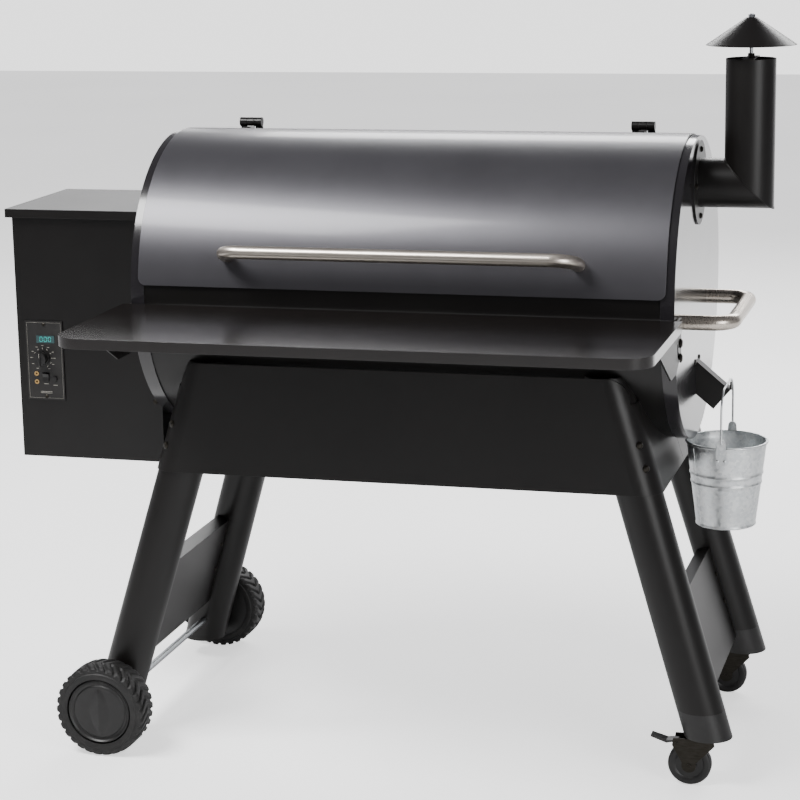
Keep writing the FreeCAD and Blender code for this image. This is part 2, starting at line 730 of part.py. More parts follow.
def make_hopper():
    """Casing, bin, guard and lid of the pellet hopper, with the fan and power inlet in it."""
    w = hopper_wall
    casing = box(hopper_left, -end_x, hopper_front, hopper_back, hopper_bottom, hopper_top)
    casing = casing.cut(box(hopper_left + w, -end_x - w, hopper_front + w, hopper_back - w,
                            hopper_bottom + w, hopper_top + 1))
    panel_cut = box(panel_centre_x - panel_width / 2 + 5, panel_centre_x + panel_width / 2 - 5,
                    hopper_front - 1, hopper_front + w + 1,
                    panel_base + 10, panel_base + panel_height - 10)
    feed = rod(Vector(-end_x - w - 1, 0, auger_height), X, w + 2, auger_tube_radius + cutout_gap)
    hot = rod(Vector(-end_x - w - 1, igniter_back, igniter_height), X, w + 2, igniter_radius)
    sensor = rod(probe_place() - X * w, X, w + 2, probe_radius)
    air = rod(Vector(fan_place + fan_length / 2, 0, hopper_bottom - 1), Z, w + 2, 20)
    inlet = box(*inlet_span(), hopper_back - w - 1, hopper_back + 1, *inlet_heights())
    for cut in (panel_cut, feed, hot, sensor, air, inlet):
        casing = casing.cut(cut)
    leaves, arm = hopper_hinge()
    pieces["hopper_casing"] = union([casing] + leaves)
    pieces["hopper_bin"] = hopper_bin()
    pieces["pellet_guard"] = pellet_guard()
    pieces["hopper_lid"] = hopper_lid(arm)
    make_fan()
    body = box(*inlet_span(), hopper_back - 22, hopper_back + 3, *inlet_heights())
    socket = box(inlet_span()[0] + 3, inlet_span()[1] - 3, hopper_back - 12, hopper_back + 4,
                 inlet_heights()[0] + 3, inlet_heights()[1] - 3)
    pieces["power_inlet"] = body.cut(socket)


def inlet_span():
    """The power inlet's two sides along X."""
    middle = hopper_left + 50
    return middle - inlet_width / 2, middle + inlet_width / 2


def inlet_heights():
    """The power inlet's lower and upper faces."""
    return hopper_bottom + 40, hopper_bottom + 40 + inlet_height


def hopper_hinge():
    """Knuckles of the hopper lid's hinge: two on the casing with the pin, one on the lid."""
    length = hopper_width - 40
    third = length / 3
    start = hopper_left + 20
    gap = 0.4
    hole = rod(Vector(start - 5, hopper_hinge_y, hopper_hinge_z), X, length + 10,
               hopper_pin_radius + running_fit)

    leaves = [rod(Vector(start, hopper_hinge_y, hopper_hinge_z), X, length, hopper_pin_radius)]
    for x0, x1 in ((start, start + third - gap), (start + 2 * third + gap, start + length)):
        leaves.append(rod(Vector(x0, hopper_hinge_y, hopper_hinge_z), X, x1 - x0, hopper_knuckle))
        leaves.append(box(x0, x1, hopper_back, hopper_hinge_y - hopper_knuckle + 0.6,
                          hopper_hinge_z - hopper_knuckle - 5, hopper_hinge_z))
    middle = rod(Vector(start + third, hopper_hinge_y, hopper_hinge_z), X, third, hopper_knuckle)
    return leaves, middle.cut(hole)


def hopper_lid(arm):
    """The lid: a plate with lips at its front and left, and the middle knuckle at the back."""
    x0 = hopper_left - hopper_lid_overhang
    x1 = -end_x - moving_gap
    y0 = hopper_front - hopper_lid_overhang
    under = hopper_top + 1.0
    top = under + hopper_lid_wall
    low = top - hopper_lid_lip
    t = hopper_lid_wall
    plate = box(x0, x1, y0, hopper_hinge_y, under, top)
    front = box(x0, x1, y0, y0 + t, low, top)
    left = box(x0, x0 + t, y0, hopper_back, low, top)
    third = (hopper_width - 40) / 3
    start = hopper_left + 20 + third
    web = box(start, start + third, hopper_hinge_y - 1, hopper_hinge_y + 1,
              hopper_hinge_z + hopper_pin_radius + 0.5, top)
    return union([plate, front, left, web, arm])


def hopper_bin():
    """The inner bin: straight walls above a funnel that empties into the auger."""
    x_mid = hopper_middle_x()
    y_mid = (hopper_front + hopper_back) / 2
    half_x = hopper_width / 2 - hopper_wall - 3
    half_y = (hopper_back - hopper_front) / 2 - hopper_wall - 3
    knee = guard_height - 10

    def ring(hx, hy, yc, z):
        """A rectangle at a height."""
        return polygon([Vector(x_mid - hx, yc - hy, z), Vector(x_mid + hx, yc - hy, z),
                        Vector(x_mid + hx, yc + hy, z), Vector(x_mid - hx, yc + hy, z)])

    throat = bin_throat / 2
    t = hopper_wall
    outer = union([
        Part.makeLoft([ring(throat, throat, 0, bin_throat_height), ring(half_x, half_y, y_mid, knee)],
                      True, True),
        Part.makeLoft([ring(half_x, half_y, y_mid, knee), ring(half_x, half_y, y_mid, bin_mouth_height)],
                      True, True)])
    inner = union([
        Part.makeLoft([ring(throat - t, throat - t, 0, bin_throat_height - 0.01),
                       ring(half_x - t, half_y - t, y_mid, knee)], True, True),
        Part.makeLoft([ring(half_x - t, half_y - t, y_mid, knee),
                       ring(half_x - t, half_y - t, y_mid, bin_mouth_height + 0.01)], True, True)])
    chute_top = auger_height + 18
    chute = box(x_mid - throat, x_mid + throat, -throat, throat, chute_top, bin_throat_height)
    chute = chute.cut(box(x_mid - throat + t, x_mid + throat - t, -throat + t, throat - t,
                          chute_top - 1, bin_throat_height + 1))
    screw_room = rod(Vector(auger_start, 0, auger_height), X, 2 * hopper_width, auger_tube_radius)
    rim = box(hopper_left + hopper_wall, -end_x - hopper_wall, hopper_front + hopper_wall,
              hopper_back - hopper_wall, bin_mouth_height - t, bin_mouth_height)
    return union([outer.cut(inner), chute.cut(screw_room), rim.cut(inner)])


def pellet_guard():
    """A wire guard across the bin that keeps fingers off the auger."""
    x_mid = hopper_middle_x()
    y_mid = (hopper_front + hopper_back) / 2
    half_x = hopper_width / 2 - 2 * hopper_wall - 3
    half_y = (hopper_back - hopper_front) / 2 - 2 * hopper_wall - 3
    count = int(2 * half_x // guard_pitch)
    step = (2 * half_x - guard_wire) / count
    wires = [box(x_mid - half_x + i * step, x_mid - half_x + i * step + guard_wire,
                 y_mid - half_y, y_mid + half_y, guard_height, guard_height + guard_wire)
             for i in range(count + 1)]
    cross = [box(x_mid - half_x, x_mid + half_x, y, y + guard_wire, guard_height,
                 guard_height + guard_wire)
             for y in (y_mid - half_y, y_mid - guard_wire / 2, y_mid + half_y - guard_wire)]
    return union(wires + cross)


def make_fan():
    """The induction fan under the auger: a drum housing and a bladed wheel on its own shaft."""
    start = Vector(fan_place, 0, fan_height)
    housing = rod(start, X, fan_length, fan_radius)
    room = rod(start + X * fan_wall, X, fan_length - 2 * fan_wall, fan_radius - fan_wall)
    axle_hole = rod(start - X, X, fan_wall + 2, 4 + running_fit)
    intake = rod(start + X * (fan_length - fan_wall - 1), X, fan_wall + 2, 20)
    outlet = box(fan_place + 8, fan_place + fan_length - 8, -12, 12, fan_height,
                 fan_height + fan_radius + 1)
    pieces["fan_housing"] = housing.cut(room).cut(axle_hole).cut(intake).cut(outlet)
    hub_start = start + X * (fan_wall + 2)
    hub = rod(hub_start, X, fan_length - 2 * fan_wall - 6, 9)
    axle = rod(start - X * 6, X, fan_wall + 14, 4)
    blade = box(hub_start.x, hub_start.x + fan_length - 2 * fan_wall - 6, -1, 1,
                fan_height + 7, fan_height + fan_radius - fan_wall - 3)
    blades = [turned(blade, start, X, 360 / fan_blades * i) for i in range(fan_blades)]
    pieces["fan_impeller"] = union([hub, axle] + blades)


# ---- controller -----------------------------------------------------------------------------
def panel_point(centre, depth=0.0):
    """A place on the controller's face from its middle line and lower edge; depth stands out."""
    return Vector(panel_centre_x + centre[0], panel_face - depth, panel_base + centre[1])


def make_controller():
    """Face plate with the box behind it, display, dial, rocker and probe jacks."""
    half = panel_width / 2
    plate = box(panel_centre_x - half, panel_centre_x + half, panel_face, hopper_front,
                panel_base, panel_base + panel_height)
    inset = 5 + cutout_gap
    body = box(panel_centre_x - half + inset, panel_centre_x + half - inset, hopper_front,
               hopper_front + panel_box_depth, panel_base + 5 + inset,
               panel_base + panel_height - 5 - inset)
    plate = union([plate, body])
    shaft_depth = 12.0
    dial_hole = rod(panel_point(dial_centre, 1), Y, shaft_depth + 2, dial_shaft_radius + running_fit)
    rocker_room = box_at(rocker_centre, rocker_width + 1, rocker_height + 1, -14, 1)
    window_room = box_at(display_centre, display_width, display_height, -1.5, 1)
    pin_room = rocker_pin(rocker_pin_radius + running_fit, 2 * running_fit)
    for cut in (dial_hole, rocker_room, window_room, pin_room):
        plate = plate.cut(cut)
    jack_rooms = [rod(panel_point(place, 1), Y, 9, jack_radius) for place in jack_places]
    for room in jack_rooms:
        plate = plate.cut(room)
    button_room = rod(panel_point(button_centre, 1), Y, 12, button_radius + 0.3)
    pieces["controller_plate"] = plate.cut(button_room)
    pieces["feed_button"] = rod(panel_point(button_centre, button_height), Y, button_height + 5,
                                button_radius)
    pieces["display_window"] = box_at(display_centre, display_width, display_height, -1.5, 0.6)
    jacks = []
    for place in jack_places:
        jack = rod(panel_point(place, 1.2), Y, 9, jack_radius)
        collar = rod(panel_point(place, 1.2), Y, 1.2, jack_radius + 1)
        jacks.append(union([jack, collar]).cut(rod(panel_point(place, 2), Y, 8, jack_radius - 1.4)))
    pieces["probe_jacks"] = Part.makeCompound(jacks)
    gap = 0.8
    knob = rod(panel_point(dial_centre, gap), -Y, dial_depth - gap, dial_radius)
    knob = knob.fuse(rod(panel_point(dial_centre, gap), -Y, 3.0, dial_radius + 1.8))
    shaft = rod(panel_point(dial_centre, -shaft_depth), -Y, shaft_depth + gap + 1, dial_shaft_radius)
    grip = box_at(dial_centre, 3.0, 2 * dial_radius + 1.0, gap + 3.0, dial_depth + 1.5)
    pieces["temperature_dial"] = union([knob, shaft, grip])
    pieces["power_rocker"] = power_rocker()


def box_at(centre, width, height, back, front):
    """A block on the controller's face, from `back` to `front` millimetres proud of it."""
    point = panel_point(centre)
    return box(point.x - width / 2, point.x + width / 2, point.y - front, point.y - back,
               point.z - height / 2, point.z + height / 2)


def rocker_axis():
    """The point the rocker turns about, behind the controller's face."""
    return panel_point(rocker_centre, -2.0)


def power_rocker():
    """A rocker with two sloping faces; its corners clear the cut-out at both ends of its tip."""
    axis = rocker_axis()
    half = rocker_height / 2 - 0.8
    x0 = axis.x - rocker_width / 2
    profile = [Vector(x0, axis.y + 5, axis.z - 3), Vector(x0, axis.y + 5, axis.z + 3),
               Vector(x0, axis.y - 2, axis.z + half), Vector(x0, axis.y - 5.5, axis.z + half),
               Vector(x0, axis.y - 3.6, axis.z), Vector(x0, axis.y - 5.5, axis.z - half),
               Vector(x0, axis.y - 2, axis.z - half)]
    body = union([prism(profile, X * rocker_width), rocker_pin(rocker_pin_radius, 0)])
    return turned(body, axis, X, rocker_tilt)


def rocker_pin(radius, longer):
    """The rocker's pivot pin, or the room for it, `longer` at each end."""
    reach = rocker_width / 2 + rocker_pin_reach + longer
    return rod(rocker_axis() - X * reach, X, 2 * reach, radius)


# ---- chimney --------------------------------------------------------------------------------
def make_chimney():
    """Mitred elbow with its flange and strap, and the cap on its threaded rod."""
    radius = chimney_radius
    outer = elbow(radius)
    inner = elbow(radius - chimney_wall, 1.0)
    flange = rod(Vector(end_x, 0, chimney_stub_height), X, flange_wall, flange_radius)
    pipe = outer.fuse(flange).cut(inner)
    half = strap_width / 2
    strap = box(chimney_x - half, chimney_x + half, -radius, radius, strap_z, strap_z + strap_wall)
    nut = hexagon(Vector(chimney_x, 0, strap_z + strap_wall), rod_nut_radius, rod_nut_height)
    hole = rod(Vector(chimney_x, 0, strap_z - 1), Z, strap_wall + rod_nut_height + 2,
               rod_radius + running_fit)
    pieces["chimney_pipe"] = union([pipe, strap, nut]).cut(hole)
    flat_z = cap_rim_z + cap_height
    cone = Part.makeCone(cap_radius, cap_flat_radius, cap_height, Vector(chimney_x, 0, cap_rim_z))
    hollow = Part.makeCone(cap_radius - cap_wall * 1.2, cap_flat_radius - cap_wall * 0.4,
                           cap_height - cap_wall, Vector(chimney_x, 0, cap_rim_z))
    bore = rod(Vector(chimney_x, 0, cap_rim_z), Z, cap_height + 1, rod_radius + running_fit)
    pieces["chimney_cap"] = cone.cut(hollow).cut(bore)
    rod_start = strap_z - rod_hang
    rod_end = flat_z + rod_nut_height
    stem = rod(Vector(chimney_x, 0, rod_start), Z, rod_end - rod_start, rod_radius)
    top_nut = hexagon(Vector(chimney_x, 0, flat_z + 0.3), rod_nut_radius, rod_nut_height - 1.3)
    under_nut = hexagon(Vector(chimney_x, 0, flat_z - cap_wall - 0.3 - 4.0), rod_nut_radius, 4.0)
    pieces["cap_rod"] = union([stem, top_nut, under_nut])


def elbow(radius, over=0.0):
    """A round bar mitred at a right angle: out from the end cap, then up; `over` lengthens it."""
    corner = Vector(chimney_x, 0, chimney_stub_height)
    reach = chimney_x - end_x + radius
    stub = rod(Vector(end_x - over, 0, chimney_stub_height), X, reach + over, radius)
    upright = rod(Vector(chimney_x, 0, chimney_stub_height - radius), Z,
                  chimney_top - chimney_stub_height + radius + over, radius)
    size = 3 * reach
    above = prism([corner - X * size - Z * size * -1, corner + X * size - Z * size,
                   corner + X * size + Z * size], Y * (4 * radius))
    above.translate(-Y * (2 * radius))
    return union([stub.cut(above), upright.common(above)])


# ---- side handle, chute and bucket ----------------------------------------------------------
def make_right_end():
    """Tow handle, grease chute with its hook, and the bucket on its bail."""
    foot = Vector(end_x, tow_centre - tow_span / 2, tow_height)
    pieces["side_handle"] = bent_bar(foot, Y, X, tow_span, tow_reach, tow_bend, tow_bar_radius)
    pieces["grease_chute"] = grease_chute()
    pieces["bucket_bail"] = bucket_bail()
    pieces["grease_bucket"] = grease_bucket()


def grease_chute():
    """A narrow sloping box open at its lower end, with a hook for the bail on top."""
    turn = math.radians(chute_slope)
    down = Vector(math.cos(turn), 0, -math.sin(turn))
    square = Vector(-math.sin(turn), 0, -math.cos(turn))
    half = chute_width / 2
    top = Vector(end_x, -half, chute_root_top)
    low = Vector(end_x, -half, chute_root_top - chute_root_height)
    tip = top + down * chute_length
    depth = chute_root_height * math.cos(turn)
    heel = tip + square * depth
    body = prism([low, top, tip, heel], Y * chute_width)
    t = chute_wall
    inner_top = top + Vector(-2, t, -t / math.cos(turn))
    inner_low = low + Vector(-2, t, t / math.cos(turn))
    far = down * (chute_length + 10)
    hollow = prism([inner_low, inner_top, inner_top + far, inner_low + far], Y * (chute_width - 2 * t))
    lip = 4.0
    ledge = prism([top - Y * lip, tip - Y * lip, tip - Y * lip + square * t, top - Y * lip + square * t],
                  Y * (chute_width + 2 * lip))
    hook_root = Vector(bucket_centre + 2 * bail_wire + 0.8, -2, hook_z - 6)
    hook = box(hook_root.x, hook_root.x + 3, -4, 4, hook_root.z, hook_z + chute_hook - 3)
    outside = box(end_x, end_x + 200, -100, 100, 400, chute_root_top)
    return union([body.cut(hollow), ledge.cut(hollow), hook.cut(hollow)]).common(outside)


def bail_pivot():
    """Where the bail's top run rests on the chute: the point it swings about."""
    return Vector(bucket_centre, 0, hook_z + bail_wire + 1.6)


def bucket_bail():
    """One bent wire: over the chute's top, down both sides and hooked into the bucket's ears."""
    top = bail_pivot().z
    side, bend, hook = bail_side, bail_bend, bail_hook_bend

    def at(y, z):
        """A point in the bail's plane."""
        return Vector(bucket_centre, y, z)

    def quarter(start, corner, end):
        """A quarter turn from start to end inside a square corner."""
        middle = corner + (start + end - corner * 2) * (1 - math.sqrt(0.5))
        return Part.Arc(start, middle, end).toShape()

    def line(start, end):
        """A straight run."""
        return Part.LineSegment(start, end).toShape()

    left = [at(-side + bail_hook, ear_z), at(-side + hook, ear_z), at(-side, ear_z + hook),
            at(-side, top - bend), at(-side + bend, top)]
    right = [at(-point.y, point.z) for point in left]
    path = Part.Wire([line(left[0], left[1]), quarter(left[1], at(-side, ear_z), left[2]),
                      line(left[2], left[3]), quarter(left[3], at(-side, top), left[4]),
                      line(left[4], right[4]), quarter(right[4], at(side, top), right[3]),
                      line(right[3], right[2]), quarter(right[2], at(side, ear_z), right[1]),
                      line(right[1], right[0])])
    return path.makePipeShell([Part.Wire(Part.makeCircle(bail_wire, left[0], Y))], True, False)


def grease_bucket():
    """A tapered pail with a rolled rim, a bottom seam and two riveted ears."""
    base_z = bucket_rim - bucket_height
    centre = Vector(bucket_centre, 0, base_z)
    body = Part.makeCone(bucket_base_radius, bucket_rim_radius, bucket_height, centre)
    hollow = Part.makeCone(bucket_base_radius - bucket_wall, bucket_rim_radius - bucket_wall,
                           bucket_height, centre + Z * bucket_wall)
    rim = Part.makeTorus(bucket_rim_radius, bucket_bead, Vector(bucket_centre, 0, bucket_rim - bucket_bead))
    foot = Part.makeTorus(bucket_base_radius, bucket_bead * 0.7, centre + Z * (bucket_bead * 0.7))
    pail = union([body.cut(hollow), rim, foot])
    pail = pail.cut(rod(centre + Z * (bucket_wall + 3), Z, bucket_height, bucket_base_radius - 3))
    ears = []
    for side in (-1, 1):
        y0 = side * (bucket_rim_radius + bucket_bead - 0.5)
        y1 = y0 + side * ear_wall
        ear = box(bucket_centre - ear_width / 2, bucket_centre + ear_width / 2, min(y0, y1),
                  max(y0, y1), bucket_rim - 30, ear_z + 7)
        web = box(bucket_centre - ear_width / 2, bucket_centre + ear_width / 2,
                  min(y0, side * (bucket_rim_radius - 6)), max(y0, side * (bucket_rim_radius - 6)),
                  bucket_rim - 30, bucket_rim - 27)
        eye = rod(Vector(bucket_centre, y0 - side * 5, ear_z), Y * side, 12, bail_wire + 0.09)
        rivets = [rod(Vector(bucket_centre + dx, y0, bucket_rim - 22), Y * side, ear_wall + 1.4, 2.6)
                  for dx in (-6, 6)]
        ears.append(union([ear, web] + rivets).cut(eye).cut(body.cut(hollow)).cut(hollow))
    return union([pail] + ears)


# ---- shelf ----------------------------------------------------------------------------------
def make_shelf():
    """The folding front shelf: a lipped plate on two end brackets that swing on the end caps."""
    half = shelf_width / 2
    outer = rounded_plate(half, shelf_front, shelf_back, shelf_corner,
                          shelf_height - shelf_lip, shelf_height)
    inner = rounded_plate(half - shelf_wall, shelf_front + shelf_wall, shelf_back + 1,
                          shelf_corner - shelf_wall, shelf_height - shelf_lip - 1,
                          shelf_height - shelf_wall)
    pieces["shelf_top"] = outer.cut(inner)
    top = shelf_height - shelf_wall
    outline = [(pivot_y + 14, top), (shelf_back - bracket_reach + 20, top),
               (shelf_back - bracket_tail, top - bracket_drop + 2),
               (shelf_back - 4, top - bracket_drop + 2), (pivot_y + 14, top - 58)]
    plate = prism([Vector(bracket_x, y, z) for y, z in outline], X * bracket_wall)
    pivot = Vector(bracket_x - 1, pivot_y, pivot_z)
    slot = arc_slot(bracket_x - 1, bracket_wall + 2)
    flange = box(bracket_x - 14, bracket_x, shelf_back - bracket_reach + 40, shelf_back - 6,
                 top - shelf_wall, top)
    bracket = union([plate, flange])
    bracket = bracket.cut(rod(pivot, X, bracket_wall + 2, pivot_radius + running_fit)).cut(slot)
    pieces["shelf_brackets"] = Part.makeCompound([bracket, mirrored(bracket, X)])
    shank = bracket_x + bracket_wall + 0.4 - end_x
    studs = []
    for z in (pivot_z, pivot_z - guide_radius):
        place = Vector(end_x, pivot_y, z)
        stud = rod(place, X, shank, pivot_radius)
        stud = union([stud, bolt(place + X * shank, X, pivot_head, pivot_head_wall)])
        studs += [stud, mirrored(stud, X)]
    pieces["shelf_pivots"] = Part.makeCompound(studs)


def rounded_plate(half, front, back, corner, z0, z1):
    """A block with its two front upright corners rounded."""
    block = box(-half, half, front, back, z0, z1)
    edges = [edge for edge in block.Edges
             if edge.BoundBox.XLength < 1e-6 and edge.BoundBox.YLength < 1e-6
             and abs(edge.Vertexes[0].Y - front) < 1e-6]
    return block.makeFillet(corner, edges)


def arc_slot(x0, depth):
    """The slot that the guide bolt runs in while the shelf folds."""
    half_width = pivot_radius + 0.4
    pivot = Vector(x0, pivot_y, pivot_z)
    over = math.degrees(0.4 / guide_radius)
    ring = tube(pivot, X, depth, guide_radius + half_width, 2 * half_width)
    reach = 2 * guide_radius
    start, end = math.radians(-90 + over), math.radians(-90 - shelf_fold - over)
    middle = (start + end) / 2
    fan = [Vector(x0, pivot_y + reach * math.cos(a), pivot_z + reach * math.sin(a))
           for a in (start, middle, end)]
    wedge = prism([pivot] + fan, X * depth)
    ends = [rod(Vector(x0, pivot_y + guide_radius * math.cos(a), pivot_z + guide_radius * math.sin(a)),
                X, depth, half_width) for a in (start, end)]
    return union([ring.common(wedge)] + ends)


# ---- legs and skirt -------------------------------------------------------------------------
def leg_centre(side_x, side_y, z):
    """A point on a leg's axis at a height."""
    drop = leg_level - z
    return Vector(side_x * (leg_spacing_x / 2 + leg_splay_x * drop),
                  side_y * (leg_spacing_y / 2 + leg_splay_y * drop), z)


def leg_bar(side_x, side_y, z0, z1, radius):
    """A solid round leg between two heights, cut level at both ends."""
    low, high = leg_centre(side_x, side_y, z0 - 60), leg_centre(side_x, side_y, z1 + 60)
    along = high - low
    bar = rod(low, along, along.Length, radius)
    return bar.common(box(-2000, 2000, -2000, 2000, z0, z1))


def make_legs():
    """Four splayed tubes, the end caps of the right pair and the panels between each pair."""
    barrel = rod(Vector(-end_x, 0, barrel_height), X, barrel_length, barrel_radius)
    axle_room = rod(Vector(axle_x, -wheel_outer_y, axle_z), Y, 2 * wheel_outer_y, axle_radius)
    caps, panels = [], []
    for side_x, side_name in ((-1, "left"), (1, "right")):
        foot = left_leg_foot if side_x < 0 else right_leg_foot
        for side_y, end_name in ((-1, "front"), (1, "rear")):
            leg = leg_bar(side_x, side_y, foot, skirt_top, leg_radius)
            leg = leg.cut(leg_bar(side_x, side_y, foot - 1, skirt_top + 1, leg_radius - leg_wall))
            leg = leg.cut(barrel)
            if side_x < 0:
                leg = leg.cut(axle_room)
            pieces["leg_%s_%s" % (end_name, side_name)] = leg
            if side_x > 0:
                caps.append(leg_cap(side_y))
        panels.append(cross_panel(side_x))
    pieces["cross_panels"] = Part.makeCompound(panels)
    pieces["leg_end_caps"] = Part.makeCompound(caps)
    axle_half = wheel_outer_y - hub_web - 4
    pieces["wheel_axle"] = rod(Vector(axle_x, -axle_half, axle_z), Y, 2 * axle_half, axle_radius)


def leg_cap(side_y):
    """A moulded end cap with a spigot in the tube and a socket for the caster's stem."""
    body = leg_bar(1, side_y, leg_cap_foot, right_leg_foot, leg_radius)
    spigot = leg_bar(1, side_y, right_leg_foot, right_leg_foot + 22, leg_radius - leg_wall)
    hollow = leg_bar(1, side_y, leg_cap_foot + 26, right_leg_foot + 23, leg_radius - leg_wall - leg_cap_wall)
    socket = rod(Vector(caster_x, side_y * caster_y, leg_cap_foot - 1), Z, caster_stem_length + 2,
                 caster_stem_radius + running_fit)
    return union([body, spigot]).cut(hollow).cut(socket)


def cross_panel(side_x):
    """A sheet between a front and a rear leg, with its top and bottom edges turned to the left."""
    tilt = math.degrees(math.atan(leg_splay_x))
    half_y = leg_spacing_y / 2 + leg_splay_y * (leg_level - panel_low)
    drop = (panel_high - panel_low) / math.cos(math.radians(tilt))
    t = panel_sheet
    sheet = box(-t / 2, t / 2, -half_y, half_y, -drop, 0)
    rims = [box(-panel_flange, t / 2, -half_y, half_y, z, z + t) for z in (-t, -drop)]
    panel = union([sheet] + rims)
    panel = turned(panel, Vector(0, 0, 0), Y, -side_x * tilt)
    top = leg_centre(side_x, 1, panel_high)
    panel.translate(Vector(top.x, 0, panel_high))
    for side_y in (-1, 1):
        panel = panel.cut(leg_bar(side_x, side_y, panel_low - 60, panel_high + 40, leg_radius))
    return panel


def skirt_block(offset, z0, z1):
    """A tapering block with round upright corners, `offset` outside the legs' axes."""
    rings = []
    for z in (z0, z1):
        centre = leg_centre(1, 1, z)
        hx, hy, r = centre.x + offset, centre.y + offset, offset
        k = r * (1 - math.sqrt(0.5))
        edges = []
        corners = ((1, -1), (1, 1), (-1, 1), (-1, -1))
        for i, (sx, sy) in enumerate(corners):
            before = Vector(sx * hx, sy * (hy - r), z) if sx == sy else Vector(sx * (hx - r), sy * hy, z)
            after = Vector(sx * (hx - r), sy * hy, z) if sx == sy else Vector(sx * hx, sy * (hy - r), z)
            edges.append(Part.Arc(before, Vector(sx * (hx - k), sy * (hy - k), z), after).toShape())
            nx, ny = corners[(i + 1) % 4]
            if nx == ny:
                nearest = Vector(nx * hx, ny * (hy - r), z)
            else:
                nearest = Vector(nx * (hx - r), ny * hy, z)
            edges.append(Part.LineSegment(after, nearest).toShape())
        rings.append(Part.Wire(edges))
    return Part.makeLoft(rings, True, True)


def make_skirt():
    """Front and rear aprons: one bent sheet each, wrapped round the legs to the middle of the side."""
    inner_offset = leg_slice + bend_gap
    outer = skirt_block(inner_offset + skirt_wall, leg_level, skirt_top)
    inner = skirt_block(inner_offset, leg_level - 1, skirt_top + 1)
    barrel = rod(Vector(-end_x, 0, barrel_height), X, barrel_length, barrel_radius)
    skirt = outer.cut(inner).cut(barrel)
    far = 2 * end_x
    top_half = leg_centre(1, 1, skirt_top).x + leg_radius
    for side in (-1, 1):
        x0 = top_half - skirt_shoulder + 8
        centre_z = skirt_top - skirt_shoulder + 1
        block = box(x0, far, -far, far, centre_z, skirt_top + 2)
        round_off = rod(Vector(x0, -far, centre_z), Y, 2 * far, skirt_shoulder)
        block = block.cut(round_off)
        skirt = skirt.cut(block if side > 0 else mirrored(block, X))
    rear = skirt.common(box(-far, far, seam_gap / 2, far, 0, far))
    pieces["rear_apron"] = rear
    pieces["front_apron"] = mirrored(rear, Y)


# ---- wheels and casters ---------------------------------------------------------------------
def make_big_wheels():
    """A tyre and a hub with a folded cap for each of the two left wheels."""
    for side, name in ((-1, "front"), (1, "rear")):
        inner_face = Vector(axle_x, side * wheel_inner_y, axle_z)
        out = Y * side
        tyre = rod(inner_face, out, wheel_width, wheel_radius)
        tyre = tyre.makeFillet(tyre_shoulder, [e for e in tyre.Edges if isinstance(e.Curve, Part.Circle)])
        tyre = tyre.cut(rod(inner_face - out, out, wheel_width + 2, wheel_rim_radius))
        pieces["wheel_tyre_" + name] = tyre
        hub = rod(inner_face + out * 3, out, wheel_width - 6, wheel_rim_radius)
        recess = tube(inner_face + out * 2, out, wheel_width - 3 - hub_web - 2,
                      wheel_rim_radius - 4, wheel_rim_radius - 4 - 20)
        bore = rod(inner_face - out, out, wheel_width - hub_web - 1, axle_radius + running_fit)
        fold = hub_fold(inner_face + out * (wheel_width - 3), side)
        pieces["wheel_hub_" + name] = union([hub, fold]).cut(recess).cut(bore)


def hub_fold(centre, side):
    """The raised fold on a hub cap: a long wedge, lens-shaped from the side of the wheel."""
    half = wheel_rim_radius * 0.82
    out = Y * (side * cap_fold_height)
    points = [centre - Z * half, centre + X * 9, centre + Z * half, centre - X * 9]
    lens = Part.Wire([Part.Arc(points[0], points[1], points[2]).toShape(),
                      Part.Arc(points[2], points[3], points[0]).toShape()])
    lens = Part.Face(lens).extrude(out * 0.5)
    return lens


def make_casters():
    """A fork, a wheel and a brake pedal under each right leg."""
    for side, name in ((-1, "front"), (1, "rear")):
        pieces["caster_fork_" + name] = caster_fork(side * caster_y)
        pieces["caster_wheel_" + name] = caster_wheel(side * caster_y)
        pieces["caster_pedal_" + name] = caster_pedal(side * caster_y)


def caster_fork(y):
    """Stem, top plate and two cheeks that carry the wheel's pin and the pedal's pin."""
    low = caster_plate_height - 4
    plate = rod(Vector(caster_x, y, low), Z, 4, caster_plate_radius)
    stem = rod(Vector(caster_x, y, low), Z, leg_cap_foot + caster_stem_length - low,
               caster_stem_radius)
    inner = caster_wheel_width / 2 + fork_gap
    saddle = box(caster_wheel_x + pedal_pivot[0] + 14, caster_x + 10, y - inner - fork_wall,
                 y + inner + fork_wall, low, low + 4)
    cheeks = []
    for side in (-1, 1):
        y0 = y + side * inner - (fork_wall if side < 0 else 0)
        outline = [Vector(caster_x + 10, y0, low + 4), Vector(caster_wheel_x + pedal_pivot[0] - 6, y0, low + 4),
                   Vector(caster_wheel_x + pedal_pivot[0] - 8, y0, low - 8),
                   Vector(caster_wheel_x - 11, y0, caster_wheel_radius + 4),
                   Vector(caster_wheel_x + 11, y0, caster_wheel_radius + 4),
                   Vector(caster_x + 12, y0, low - 6)]
        boss = rod(Vector(caster_wheel_x, y0, caster_wheel_radius), Y, fork_wall, 12)
        cheeks.append(union([prism(outline, Y * fork_wall), boss]))
    span = inner + fork_wall + 1.5
    pins = [rod(Vector(caster_wheel_x, y - span, caster_wheel_radius), Y, 2 * span, pin_radius),
            rod(Vector(caster_wheel_x + pedal_pivot[0], y - span, pedal_pivot[1]), Y, 2 * span,
                pin_radius - 1)]
    return union([plate, stem, saddle] + cheeks + pins)


